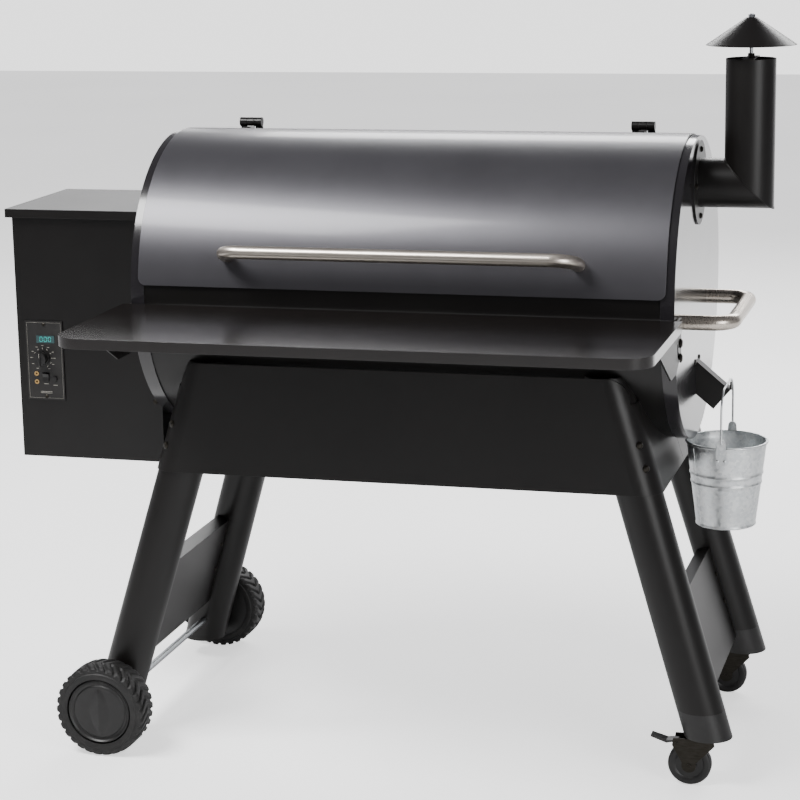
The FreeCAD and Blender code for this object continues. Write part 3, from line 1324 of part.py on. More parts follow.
def caster_wheel(y):
    """The small wheel, dished on both faces."""
    half = caster_wheel_width / 2
    centre = Vector(caster_wheel_x, y - half, caster_wheel_radius)
    wheel = rod(centre, Y, caster_wheel_width, caster_wheel_radius)
    wheel = wheel.makeFillet(3.0, [e for e in wheel.Edges if isinstance(e.Curve, Part.Circle)])
    for start in (y - half - 1, y + half - 3):
        dish = tube(Vector(caster_wheel_x, start, caster_wheel_radius), Y, 4,
                    caster_wheel_radius - 8, caster_wheel_radius - 8 - 11)
        wheel = wheel.cut(dish)
    return wheel.cut(rod(centre - Y, Y, caster_wheel_width + 2, pin_radius + running_fit))


def caster_pedal(y):
    """The brake lever: a bored barrel with a tread plate that slopes out past the wheel."""
    px, pz = caster_wheel_x + pedal_pivot[0], pedal_pivot[1]
    half = caster_wheel_width / 2 - 1
    barrel = rod(Vector(px, y - half, pz), Y, 2 * half, pin_radius + 1)
    tip = Vector(px - pedal_length, y - half, pz + 6)
    tread = prism([Vector(px, y - half, pz + 1), Vector(px - 18, y - half, pz - 3), tip,
                   tip + Z * pedal_wall, Vector(px - 18, y - half, pz + 1.5),
                   Vector(px, y - half, pz + 4)], Y * (2 * half))
    hole = rod(Vector(px, y - half - 1, pz), Y, 2 * half + 2, pin_radius - 1 + running_fit)
    return union([barrel, tread]).cut(hole)


# ---- fasteners ------------------------------------------------------------------------------
def largest(shape):
    """The biggest of a shape's solids."""
    return max(shape.Solids, key=lambda solid: solid.Volume)


def make_frame_bolts():
    """Every fixed bolt and screw head on the frame, as separate solids."""
    heads = []
    skin = leg_slice + bend_gap
    diagonal = math.sqrt(0.5)
    tilt = math.atan(leg_splay_x)
    for side_x in (-1, 1):
        panel_out = Vector(math.cos(tilt), 0, side_x * math.sin(tilt))
        for side_y in (-1, 1):
            out = Vector(side_x * diagonal, side_y * diagonal, 0)
            apron = pieces["front_apron" if side_y < 0 else "rear_apron"]
            for z in (534.0, 572.0):
                head = bolt(leg_centre(side_x, side_y, z) + out * (skin + skirt_wall / 4), out,
                            bolt_head, bolt_head_height + skirt_wall)
                heads.append(largest(head.cut(apron)))
            for z in (190.0, 240.0):
                middle = leg_centre(side_x, side_y, z)
                place = Vector(middle.x, middle.y - side_y * (leg_radius + 12), z)
                place += panel_out * (panel_sheet / 2)
                heads.append(bolt(place, panel_out, screw_head, screw_head_height))
    ring = (chimney_radius + flange_radius) / 2
    for i in range(4):
        turn = math.radians(90 * i)
        place = Vector(end_x + flange_wall, ring * math.cos(turn),
                       chimney_stub_height + ring * math.sin(turn))
        heads.append(bolt(place, X, 5.0, 4.0))
    for y in (-chute_width - 4, chute_width + 4):
        heads.append(bolt(Vector(end_x, y, chute_root_top), X, screw_head, screw_head_height))
    for z in (hopper_bottom + 108, hopper_top - 60):
        place = Vector(-end_x - 12, hopper_front, z)
        heads.append(bolt(place, -Y, screw_head, screw_head_height))
    for z in (6.0, panel_height - 6.0):
        heads.append(bolt(panel_point((0, z)), -Y, 3.2, screw_head_height))
    pieces["frame_bolts"] = Part.makeCompound(heads)


def box_middle(shapes):
    """The middle of the shapes' footprint."""
    bounds = FreeCAD.BoundBox()
    for shape in shapes:
        bounds.add(shape.optimalBoundingBox(False, False))
    return Vector(bounds.Center.x, bounds.Center.y, 0)


for make in (make_barrel, make_lid, make_cooking_pieces, make_pellet_feed, make_hopper,
             make_controller, make_chimney, make_right_end, make_shelf, make_legs, make_skirt,
             make_big_wheels, make_casters, make_frame_bolts):
    make()

origin = box_middle(pieces.values())

if __name__ == "__main__":
    os.makedirs("parts", exist_ok=True)
    for name, shape in pieces.items():
        moved = shape.copy()
        moved.translate(origin * -1)
        moved.exportStep("parts/%s.step" % name)
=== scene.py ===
"""Looks of a barrel pellet smoker grill: finishes, wheels, bucket, control panel and studio."""
import logging
import math
from dataclasses import dataclass, field
from enum import Enum
from typing import Callable, Iterable, Sequence

import bmesh
import bpy
from mathutils import Matrix, Vector


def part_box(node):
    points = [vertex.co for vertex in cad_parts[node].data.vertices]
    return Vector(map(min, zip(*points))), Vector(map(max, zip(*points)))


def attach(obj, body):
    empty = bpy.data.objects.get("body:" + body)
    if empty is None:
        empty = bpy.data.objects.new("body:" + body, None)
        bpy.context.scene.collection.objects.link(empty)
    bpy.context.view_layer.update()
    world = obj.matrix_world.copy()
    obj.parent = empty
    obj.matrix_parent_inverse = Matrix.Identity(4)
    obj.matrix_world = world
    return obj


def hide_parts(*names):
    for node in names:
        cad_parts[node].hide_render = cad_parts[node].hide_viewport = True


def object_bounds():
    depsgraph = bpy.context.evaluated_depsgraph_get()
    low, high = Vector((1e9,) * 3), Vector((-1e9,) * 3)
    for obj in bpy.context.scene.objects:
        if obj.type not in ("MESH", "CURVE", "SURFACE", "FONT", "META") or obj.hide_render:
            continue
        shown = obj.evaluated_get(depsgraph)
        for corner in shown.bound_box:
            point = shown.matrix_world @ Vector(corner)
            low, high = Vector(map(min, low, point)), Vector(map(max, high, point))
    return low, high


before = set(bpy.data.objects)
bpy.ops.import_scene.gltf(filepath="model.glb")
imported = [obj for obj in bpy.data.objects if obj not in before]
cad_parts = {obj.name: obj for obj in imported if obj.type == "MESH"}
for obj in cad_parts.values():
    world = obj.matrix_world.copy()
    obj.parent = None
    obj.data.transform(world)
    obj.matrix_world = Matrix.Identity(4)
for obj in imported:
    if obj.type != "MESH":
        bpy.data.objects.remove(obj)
LOG = logging.getLogger("smoker")
MM = 0.001
CAD_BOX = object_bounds()

# A face is the numbers of its corners, and a block is its corners and faces.
Face = tuple[int, ...]
Block = tuple[list[Vector], list[Face]]


# ---- node and mesh helpers ------------------------------------------------------------------
def linear(hex_colour: str) -> tuple[float, float, float, float]:
    """Turns an sRGB hex colour to linear.

    Args:
        hex_colour: Such as "#a0b1c2".

    Returns:
        Linear red, green, blue and an alpha of one.
    """
    channels = [int(hex_colour[i:i + 2], 16) / 255 for i in (1, 3, 5)]
    curve = [c / 12.92 if c <= 0.04045 else ((c + 0.055) / 1.055) ** 2.4 for c in channels]
    return curve[0], curve[1], curve[2], 1.0


def add(tree: bpy.types.NodeTree, kind: str, inputs: dict[str | int, object] | None = None,
        **settings: object) -> bpy.types.Node:
    """Adds one shader node.

    Args:
        tree: The material's or world's node tree.
        kind: The node's type, without its "ShaderNode" prefix.
        inputs: A value or an output socket for each input, by name or number.
        **settings: The node's own properties.

    Returns:
        The new node.
    """
    node = tree.nodes.new("ShaderNode" + kind)
    for key, value in settings.items():
        setattr(node, key, value)
    for key, value in (inputs or {}).items():
        if isinstance(value, bpy.types.NodeSocket):
            tree.links.new(value, node.inputs[key])
        else:
            node.inputs[key].default_value = value
    return node


def per_mm(size_mm: float) -> float:
    """Texture scale at which one pattern cell measures that many millimetres."""
    return 1.0 / (size_mm * MM)


def ramp(tree: bpy.types.NodeTree, source: bpy.types.NodeSocket,
         stops: Sequence[tuple[float, str]]) -> bpy.types.Node:
    """Adds a colour ramp.

    Args:
        tree: The node tree.
        source: The factor.
        stops: Position and sRGB hex colour of each stop.

    Returns:
        The ramp node.
    """
    node = add(tree, "ValToRGB", {"Fac": source})
    elements = node.color_ramp.elements
    while len(elements) < len(stops):
        elements.new(0.5)
    for element, (position, colour) in zip(elements, stops):
        element.position = position
        element.color = linear(colour)
    return node


def span(tree: bpy.types.NodeTree, source: bpy.types.NodeSocket, low: float, high: float,
         start: float = 0.0, end: float = 1.0) -> bpy.types.NodeSocket:
    """Maps a factor from one stretch to another.

    Args:
        tree: The node tree.
        source: The factor.
        low: Result at `start`.
        high: Result at `end`.
        start: Lower end of the source's stretch.
        end: Upper end of the source's stretch.

    Returns:
        The mapped value's socket.
    """
    node = add(tree, "MapRange", {"Value": source, "From Min": start, "From Max": end,
                                  "To Min": low, "To Max": high})
    return node.outputs["Result"]


def mesh_piece(name: str, verts: Sequence[Vector], faces: Sequence[Face],
               smooth: bool = True) -> bpy.types.Object:
    """Makes a mesh object in the scene.

    Args:
        name: The piece's name.
        verts: Corner points in metres.
        faces: Corner numbers of each face.
        smooth: Whether faces are shaded smooth, apart from edges sharper than 35 degrees.

    Returns:
        The object.
    """
    sharp_degrees = 35
    mesh = bpy.data.meshes.new(name)
    mesh.from_pydata([tuple(v) for v in verts], [], faces)
    work = bmesh.new()
    work.from_mesh(mesh)
    bmesh.ops.recalc_face_normals(work, faces=work.faces)
    work.to_mesh(mesh)
    work.free()
    if smooth:
        mesh.shade_smooth()
        mesh.set_sharp_from_angle(angle=math.radians(sharp_degrees))
    piece = bpy.data.objects.new(name, mesh)
    bpy.context.scene.collection.objects.link(piece)
    return piece


def grid_faces(rows: int, columns: int, wrap: bool, close_rows: bool = False) -> list[Face]:
    """Quads of a grid of points.

    Args:
        rows: Number of rings.
        columns: Points in each ring.
        wrap: Whether each ring is closed.
        close_rows: Whether the last ring joins the first.

    Returns:
        Corner numbers of each quad.
    """
    faces = []
    for i in range(rows if close_rows else rows - 1):
        for j in range(columns if wrap else columns - 1):
            a, b = i * columns + j, i * columns + (j + 1) % columns
            k = (i + 1) % rows * columns
            faces.append((a, b, k + (j + 1) % columns, k + j))
    return faces


def lathe(name: str, centre: Vector, outline: Sequence[tuple[float, float]], axis: Vector, side: Vector,
          steps: int, relief: Callable[[float, float, float], float] | None = None) -> bpy.types.Object:
    """Turns a closed outline about an axis.

    Args:
        name: The piece's name.
        centre: A point on the axis.
        outline: Radius and place along the axis of each outline point, in metres.
        axis: The axis's direction.
        side: A direction square to the axis, where the angle is zero.
        steps: Points round the circle.
        relief: Optional change of radius from angle, radius and place.

    Returns:
        The object.
    """
    third = axis.cross(side)
    verts = []
    for i in range(steps):
        angle = 2 * math.pi * i / steps
        out = side * math.cos(angle) + third * math.sin(angle)
        for radius, along in outline:
            grown = radius + (relief(angle, radius, along) if relief else 0.0)
            verts.append(centre + out * grown + axis * along)
    return mesh_piece(name, verts, grid_faces(steps, len(outline), True, True))


def ring_bead(name: str, points: Sequence[Vector], radius: float, sides: int = 10) -> bpy.types.Object:
    """Makes a round bead along a closed line.

    Args:
        name: The piece's name.
        points: The bead's middle line, whose end joins its start.
        radius: The bead's radius.
        sides: Points round the bead.

    Returns:
        The object.
    """
    count = len(points)
    verts = []
    for i, point in enumerate(points):
        along = (points[(i + 1) % count] - points[(i - 1) % count]).normalized()
        across = along.cross(Vector((0.3, 0.5, 0.81))).normalized()
        other = along.cross(across)
        verts += [point + (across * math.cos(2 * math.pi * k / sides)
                           + other * math.sin(2 * math.pi * k / sides)) * radius for k in range(sides)]
    return mesh_piece(name, verts, grid_faces(count, sides, True, True))


def block(low: Vector, high: Vector) -> Block:
    """Corners and faces of a block between two corners."""
    verts = [Vector((x, y, z)) for x in (low.x, high.x) for y in (low.y, high.y) for z in (low.z, high.z)]
    return verts, [(0, 1, 3, 2), (4, 6, 7, 5), (0, 4, 5, 1), (2, 3, 7, 6), (0, 2, 6, 4), (1, 5, 7, 3)]


def blocks_piece(name: str, blocks: Iterable[Block], bevel_mm: float) -> bpy.types.Object:
    """Makes one piece from several blocks, with rounded edges.

    Args:
        name: The piece's name.
        blocks: Corners and faces of each block.
        bevel_mm: Radius of the rounded edges.

    Returns:
        The object.
    """
    verts, faces = [], []
    for corners, quads in blocks:
        faces += [tuple(i + len(verts) for i in quad) for quad in quads]
        verts += corners
    piece = mesh_piece(name, verts, faces, smooth=False)
    work = bmesh.new()
    work.from_mesh(piece.data)
    bmesh.ops.bevel(work, geom=list(work.edges), offset=bevel_mm * MM, segments=2, affect="EDGES")
    work.to_mesh(piece.data)
    work.free()
    return piece


def box_of(node: str) -> tuple[Vector, Vector]:
    """Lowest and highest corner of a frame node."""
    low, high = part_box(node)
    return Vector(low), Vector(high)


def middle_of(node: str) -> Vector:
    """Middle of a frame node's box."""
    low, high = box_of(node)
    return (low + high) / 2


def wheel_size(node: str) -> tuple[Vector, float, float]:
    """Sizes of a wheel that turns about Y.

    Args:
        node: The wheel's frame node.

    Returns:
        Its middle, its radius and half its width.
    """
    low, high = box_of(node)
    return (low + high) / 2, (high.z - low.z) / 2, (high.y - low.y) / 2


# ---- finishes -------------------------------------------------------------------------------
@dataclass(frozen=True)
class Finish:
    """What every finish has: a name, two colours it wanders between, and its gloss."""

    name: str
    colour: str
    second: str
    roughness: float
    metallic: float = 0.0

    def start(self) -> tuple[bpy.types.Material, bpy.types.NodeTree, bpy.types.Node,
                             bpy.types.NodeSocket]:
        """Makes the material.

        Returns:
            The material, its tree, its Principled shader and the object coordinates.
        """
        material = bpy.data.materials.new(self.name)
        material.use_nodes = True
        tree = material.node_tree
        shader = tree.nodes["Principled BSDF"]
        shader.inputs["Metallic"].default_value = self.metallic
        shader.inputs["Roughness"].default_value = self.roughness
        shader.inputs["Base Color"].default_value = linear(self.colour)
        return material, tree, shader, add(tree, "TexCoord").outputs["Object"]

    def wander(self, tree: bpy.types.NodeTree, shader: bpy.types.Node, place: bpy.types.NodeSocket,
               size_mm: float, gloss: float = 0.06) -> bpy.types.NodeSocket:
        """Lets colour and gloss drift over the surface.

        Args:
            tree: The material's tree.
            shader: Its Principled shader.
            place: The coordinates.
            size_mm: Size of the patches.
            gloss: How far the roughness drifts each way.

        Returns:
            The drifting factor.
        """
        drift = add(tree, "TexNoise", {"Vector": place, "Scale": per_mm(size_mm), "Detail": 5.0,
                                       "Roughness": 0.6}).outputs["Fac"]
        mixed = ramp(tree, drift, ((0.32, self.colour), (0.68, self.second)))
        tree.links.new(mixed.outputs["Color"], shader.inputs["Base Color"])
        rough = span(tree, drift, self.roughness - gloss, self.roughness + gloss, 0.3, 0.7)
        tree.links.new(rough, shader.inputs["Roughness"])
        return drift


@dataclass(frozen=True)
class PowderCoat(Finish):
    """Polyester powder coat baked on steel: a fine orange peel, softly rounded and rubbed edges."""

    # Real orange peel is under a millimetre: it is drawn coarser, so that it shows.
    peel_mm: float = 1.6
    peel_depth: float = 0.05
    edge_mm: float = 1.2
    rubbed: str = "#2b2927"
    coat: float = 0.0
    specular: float = 0.5

    def build(self) -> bpy.types.Material:
        """Makes the material.

        Returns:
            The material.
        """
        material, tree, shader, place = self.start()
        self.wander(tree, shader, place, 220, 0.015)
        drifted = shader.inputs["Base Color"].links[0].from_socket
        rounded = add(tree, "Bevel", {"Radius": self.edge_mm * MM}, samples=4)
        flat = add(tree, "NewGeometry").outputs["Normal"]
        turn = add(tree, "VectorMath", {0: rounded.outputs["Normal"], 1: flat}, operation="DOT_PRODUCT")
        edge = span(tree, turn.outputs["Value"], 0.55, 0.0, 0.80, 0.98)
        speckle = add(tree, "TexNoise", {"Vector": place, "Scale": per_mm(9),
                                         "Detail": 4.0}).outputs["Fac"]
        worn = add(tree, "Math", {0: edge, 1: span(tree, speckle, 0.35, 0.8, 0.40, 0.66)},
                   operation="MULTIPLY")
        mixed = add(tree, "Mix", {"Factor": worn.outputs[0], 6: drifted, 7: linear(self.rubbed)},
                    data_type="RGBA")
        tree.links.new(mixed.outputs[2], shader.inputs["Base Color"])
        peel = add(tree, "TexNoise", {"Vector": place, "Scale": per_mm(self.peel_mm), "Detail": 2.0})
        bump = add(tree, "Bump", {"Height": peel.outputs["Fac"], "Strength": self.peel_depth,
                                  "Distance": 0.4 * MM, "Normal": rounded.outputs["Normal"]})
        tree.links.new(bump.outputs["Normal"], shader.inputs["Normal"])
        shader.inputs["Coat Weight"].default_value = self.coat
        shader.inputs["Coat Roughness"].default_value = 0.12
        shader.inputs["Specular IOR Level"].default_value = self.specular
        return material


@dataclass(frozen=True)
class BrushedSteel(Finish):
    """Steel drawn through an abrasive belt: fine scratches along one direction streak the light."""

    # Belt scratches are about a tenth of a millimetre: they are drawn coarser, so that they show.
    grain_mm: float = 0.7
    streak: float = 60.0
    along: tuple[float, float, float] = (1.0, 0.0, 0.0)
    depth: float = 0.18

    def build(self) -> bpy.types.Material:
        """Makes the material.

        Returns:
            The material.
        """
        material, tree, shader, place = self.start()
        scale = tuple(1.0 / self.streak if a else 1.0 for a in self.along)
        long = add(tree, "Mapping", {"Vector": place, "Scale": scale}).outputs["Vector"]
        self.wander(tree, shader, long, self.grain_mm * 3, 0.07)
        grain = add(tree, "TexNoise", {"Vector": long, "Scale": per_mm(self.grain_mm), "Detail": 3.0})
        bump = add(tree, "Bump", {"Height": grain.outputs["Fac"], "Strength": self.depth,
                                  "Distance": 0.2 * MM})
        tree.links.new(bump.outputs["Normal"], shader.inputs["Normal"])
        shader.inputs["Anisotropic"].default_value = 0.35
        return material


@dataclass(frozen=True)
class Galvanised(Finish):
    """Hot-dipped zinc on sheet: bright crystals a few millimetres wide, each with its own gloss."""

    # The real width of one zinc crystal.
    spangle_mm: float = 5.0
    dulled: str = "#c9cdcf"

    def build(self) -> bpy.types.Material:
        """Makes the material.

        Returns:
            The material.
        """
        material, tree, shader, place = self.start()
        bent = add(tree, "TexNoise", {"Vector": place, "Scale": per_mm(9),
                                      "Detail": 2.0}).outputs["Color"]
        pushed = add(tree, "Mix", {"Factor": 0.006, 4: place, 5: bent}, data_type="VECTOR")
        cells = add(tree, "TexVoronoi", {"Vector": pushed.outputs[1], "Scale": per_mm(self.spangle_mm)})
        shade = add(tree, "SeparateColor", {"Color": cells.outputs["Color"]}).outputs["Red"]
        mixed = ramp(tree, shade, ((0.0, self.dulled), (0.5, self.colour), (1.0, self.second)))
        stain = add(tree, "TexNoise", {"Vector": place, "Scale": per_mm(45),
                                       "Detail": 6.0}).outputs["Fac"]
        weathered = add(tree, "Mix", {"Factor": span(tree, stain, 0.0, 0.22, 0.50, 0.75),
                                      6: mixed.outputs["Color"], 7: linear("#8d9395")}, data_type="RGBA")
        tree.links.new(weathered.outputs[2], shader.inputs["Base Color"])
        tree.links.new(span(tree, shade, self.roughness - 0.08, self.roughness + 0.12),
                       shader.inputs["Roughness"])
        fine = add(tree, "TexNoise", {"Vector": place, "Scale": per_mm(2.2), "Detail": 3.0})
        bump = add(tree, "Bump", {"Height": fine.outputs["Fac"], "Strength": 0.10, "Distance": 0.3 * MM})
        tree.links.new(bump.outputs["Normal"], shader.inputs["Normal"])
        return material


@dataclass(frozen=True)
class Moulded(Finish):
    """Moulded plastic or rubber: a spark-eroded grain, with dust caught in it."""

    # Spark-eroded grain is about a fifth of a millimetre: it is drawn coarser, so that it shows.
    grain_mm: float = 0.9
    depth: float = 0.16
    dust: str = "#4c4a47"
    dusty: float = 0.10

    def build(self) -> bpy.types.Material:
        """Makes the material.

        Returns:
            The material.
        """
        material, tree, shader, place = self.start()
        self.wander(tree, shader, place, 40)
        drifted = shader.inputs["Base Color"].links[0].from_socket
        patches = add(tree, "TexNoise", {"Vector": place, "Scale": per_mm(22), "Detail": 8.0,
                                         "Roughness": 0.7}).outputs["Fac"]
        mixed = add(tree, "Mix", {"Factor": span(tree, patches, 0.0, self.dusty, 0.45, 0.75),
                                  6: drifted, 7: linear(self.dust)}, data_type="RGBA")
        tree.links.new(mixed.outputs[2], shader.inputs["Base Color"])
        grain = add(tree, "TexVoronoi", {"Vector": place, "Scale": per_mm(self.grain_mm)})
        bump = add(tree, "Bump", {"Height": grain.outputs["Distance"], "Strength": self.depth,
                                  "Distance": 0.2 * MM})
        tree.links.new(bump.outputs["Normal"], shader.inputs["Normal"])
        return material


@dataclass(frozen=True)
class SmokedSteel(Finish):
    """Mill-finish sheet inside a smoker: brown smoke film, darker where it has pooled."""

    film: str = "#3a2c20"
    film_mm: float = 60.0

    def build(self) -> bpy.types.Material:
        """Makes the material.

        Returns:
            The material.
        """
        material, tree, shader, place = self.start()
        self.wander(tree, shader, place, 25, 0.08)
        drifted = shader.inputs["Base Color"].links[0].from_socket
        smoke = add(tree, "TexNoise", {"Vector": place, "Scale": per_mm(self.film_mm), "Detail": 7.0,
                                       "Roughness": 0.65}).outputs["Fac"]
        mixed = add(tree, "Mix", {"Factor": span(tree, smoke, 0.0, 0.8, 0.40, 0.66),
                                  6: drifted, 7: linear(self.film)}, data_type="RGBA")
        tree.links.new(mixed.outputs[2], shader.inputs["Base Color"])
        bump = add(tree, "Bump", {"Height": smoke, "Strength": 0.12, "Distance": 0.5 * MM})
        tree.links.new(bump.outputs["Normal"], shader.inputs["Normal"])
        return material


@dataclass(frozen=True)
class Lit(Finish):
    """A small liquid-crystal display behind glass: a dim teal glow with darker cells."""

    glow: float = 0.5

    def build(self) -> bpy.types.Material:
        """Makes the material.

        Returns:
            The material.
        """
        material, tree, shader, place = self.start()
        drift = self.wander(tree, shader, place, 6, 0.03)
        light = ramp(tree, drift, ((0.3, self.colour), (0.7, self.second)))
        tree.links.new(light.outputs["Color"], shader.inputs["Emission Color"])
        shader.inputs["Emission Strength"].default_value = self.glow
        shader.inputs["Coat Weight"].default_value = 1.0
        shader.inputs["Coat Roughness"].default_value = 0.03
        return material


class Coating(Enum):
    """Every finish on the grill, by the material and the process behind it."""

    # Satin black polyester powder coat: near black with a warm cast and soft, broad highlights.
    FRAME = PowderCoat("powder_coat_satin_black", "#0b0908", "#100e0d", 0.38, specular=0.32)
    # The same powder on the rolled shell and hopper, a little smoother.
    BODY = PowderCoat("powder_coat_semi_gloss_black", "#0c0a0a", "#11100f", 0.32, peel_depth=0.04,
                      specular=0.32)
    # Smoother still on the pressed end caps, which mirror the room at a glancing angle.
    CAP = PowderCoat("powder_coat_gloss_black", "#171618", "#1d1b1e", 0.17, peel_depth=0.02, coat=0.35)
    # Bronze-black metallic powder on the lid: graphite with a soft metal sheen.
    LID = PowderCoat("powder_coat_graphite_metallic", "#4b4a4e", "#525155", 0.36, 0.65,
                     peel_depth=0.03, rubbed="#6c6a6b", coat=0.25)
    # Gloss black on the shelf's top.
    SHELF = PowderCoat("powder_coat_shelf_gloss_black", "#141110", "#191615", 0.24, peel_depth=0.03,
                       rubbed="#33302e", coat=0.3)
    # Stainless bar ground along its length: warm grey with long streaks.
    BAR_X = BrushedSteel("stainless_steel_ground_along_bar", "#cfc6bb", "#ddd5ca", 0.34, 1.0)
    BAR_Y = BrushedSteel("stainless_steel_ground_across", "#bdb4a9", "#d0c8bd", 0.30, 1.0,
                         along=(0.0, 1.0, 0.0))
    # Zinc-dipped pail and bail: bright, patchy crystals.
    ZINC = Galvanised("galvanised_steel_hot_dipped", "#dcdfe0", "#e9ebeb", 0.42, 1.0)
    # Bright zinc plate on bolts, pins and nuts.
    PLATED = BrushedSteel("zinc_plated_steel_fasteners", "#8d9093", "#b4b7ba", 0.32, 1.0,
                          grain_mm=0.8, streak=6.0, depth=0.10)
    # Black-oxide screws, as dark as the coat round them.
    BLACKED = BrushedSteel("black_oxide_steel_screws", "#26241f", "#34312d", 0.38, 0.9,
                           grain_mm=0.8, streak=5.0, depth=0.10)
    # Porcelain enamel over the grates: glassy blue-black beads.
    ENAMEL = PowderCoat("porcelain_enamel_on_steel", "#101116", "#17181d", 0.16, peel_mm=4.0,
                        edge_mm=1.4, rubbed="#2a2a2e", coat=0.5)
    # Sheet inside the cooking chamber, browned by smoke.
    SMOKED = SmokedSteel("mill_finish_steel_smoke_stained", "#74716c", "#8d8a84", 0.40, 0.9)
    # Clean mill-finish sheet in the hopper.
    SHEET = BrushedSteel("mill_finish_steel_sheet", "#85878a", "#9a9c9f", 0.38, 1.0, grain_mm=1.2,
                         streak=20.0, along=(0.0, 0.0, 1.0), depth=0.08)
    # Blow-moulded polyethylene hubs: even black with a dull sheen.
    HUB = Moulded("polyethylene_moulded_black", "#0a0909", "#0f0e0e", 0.44)
    # Hard tread rubber: blacker and drier, with dust in the grooves.
    TREAD = Moulded("rubber_moulded_tread", "#090808", "#0e0d0d", 0.60, grain_mm=1.6, depth=0.25,
                    dusty=0.16)
    # Glass-filled nylon on leg caps, pedals and the controls.
    NYLON = Moulded("nylon_moulded_black", "#0b0a0a", "#100f0f", 0.42)
    # Polyester overlay printed on the control panel: dark brown-black and matte.
    OVERLAY = Moulded("polyester_film_overlay_black", "#0d0b0a", "#12100f", 0.50, grain_mm=0.5,
                      depth=0.06)
    # Pale screen-print ink of ticks and frames.
    INK = Moulded("screen_printed_ink_pale", "#8f8c84", "#a19e96", 0.55, grain_mm=0.5, depth=0.04,
                  dusty=0.2)
    # Brass-coloured contact rings of the probe sockets.
    NICKEL = BrushedSteel("nickel_plated_brass", "#b3925f", "#c9ab79", 0.24, 1.0, grain_mm=0.5,
                          streak=3.0, depth=0.05)
    # The display's glow.
    SCREEN = Lit("liquid_crystal_display_glass", "#062b2e", "#08393b", 0.10)
    # The cells of the display that are on: brighter blue-green.
    CELLS = Lit("liquid_crystal_display_cells", "#1c9c98", "#25b3a8", 0.45)


MATERIALS: dict[Coating, bpy.types.Material] = {}


def material_of(coating: Coating) -> bpy.types.Material:
    """The coating's material, made the first time it is asked for.

    Args:
        coating: The finish.

    Returns:
        Its material.
    """
    if coating not in MATERIALS:
        MATERIALS[coating] = coating.value.build()
    return MATERIALS[coating]


def dress(piece: bpy.types.Object, coating: Coating) -> None:
    """Puts a finish on a piece's every slot."""
    piece.data.materials.clear()
    piece.data.materials.append(material_of(coating))


@dataclass
class SubAssembly:
    """Part of the grill: which frame nodes it dresses and in what."""

    title: str
    coats: dict[Coating, tuple[str, ...]] = field(default_factory=dict)

    def build(self) -> None:
        """Dresses the frame's nodes and reports each."""
        for coating, nodes in self.coats.items():
            for node in nodes:
                dress(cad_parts[node], coating)
                LOG.info("%s: %s in %s", self.title, node, coating.value.name)

    def place(self, piece: bpy.types.Object, body: str, coating: Coating, slot: str,
              *replaced: str) -> None:
        """Finishes a new piece and hands it to a body.

        Args:
            piece: The new piece.
            body: The frame body it moves with.
            coating: Its finish.
            slot: Not used.
            *replaced: Frame nodes it stands for.
        """
        dress(piece, coating)
        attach(piece, body)
        if replaced:
            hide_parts(*replaced)
        LOG.info("%s: %s on %s", self.title, piece.name, body)


# ---- the grill's sub-assemblies -------------------------------------------------------------
@dataclass
class Chimney(SubAssembly):
    """Elbow pipe and cap, with the weld that joins the elbow's two halves."""

    pipe_radius: float = 41.0 * MM
    bead_radius: float = 1.1 * MM
    bead_steps: int = 72
    stub_above_barrel: float = 177.0 * MM

    def build(self) -> None:
        """Dresses the pipe and lays the weld bead round its mitre."""
        super().build()
        low, high = box_of("cap_rod")
        axis_x = (low.x + high.x) / 2
        axis_y = (low.y + high.y) / 2
        axis_z = middle_of("end_cap_left").z + self.stub_above_barrel
        points = []
        for i in range(self.bead_steps):
            angle = 2 * math.pi * i / self.bead_steps
            out, side = self.pipe_radius * math.cos(angle), self.pipe_radius * math.sin(angle)
            points.append(Vector((axis_x + out, axis_y + side, axis_z - out)))
        bead = ring_bead("chimney_mitre_weld", points, self.bead_radius)
        self.place(bead, "frame", Coating.FRAME, "powder_coat")


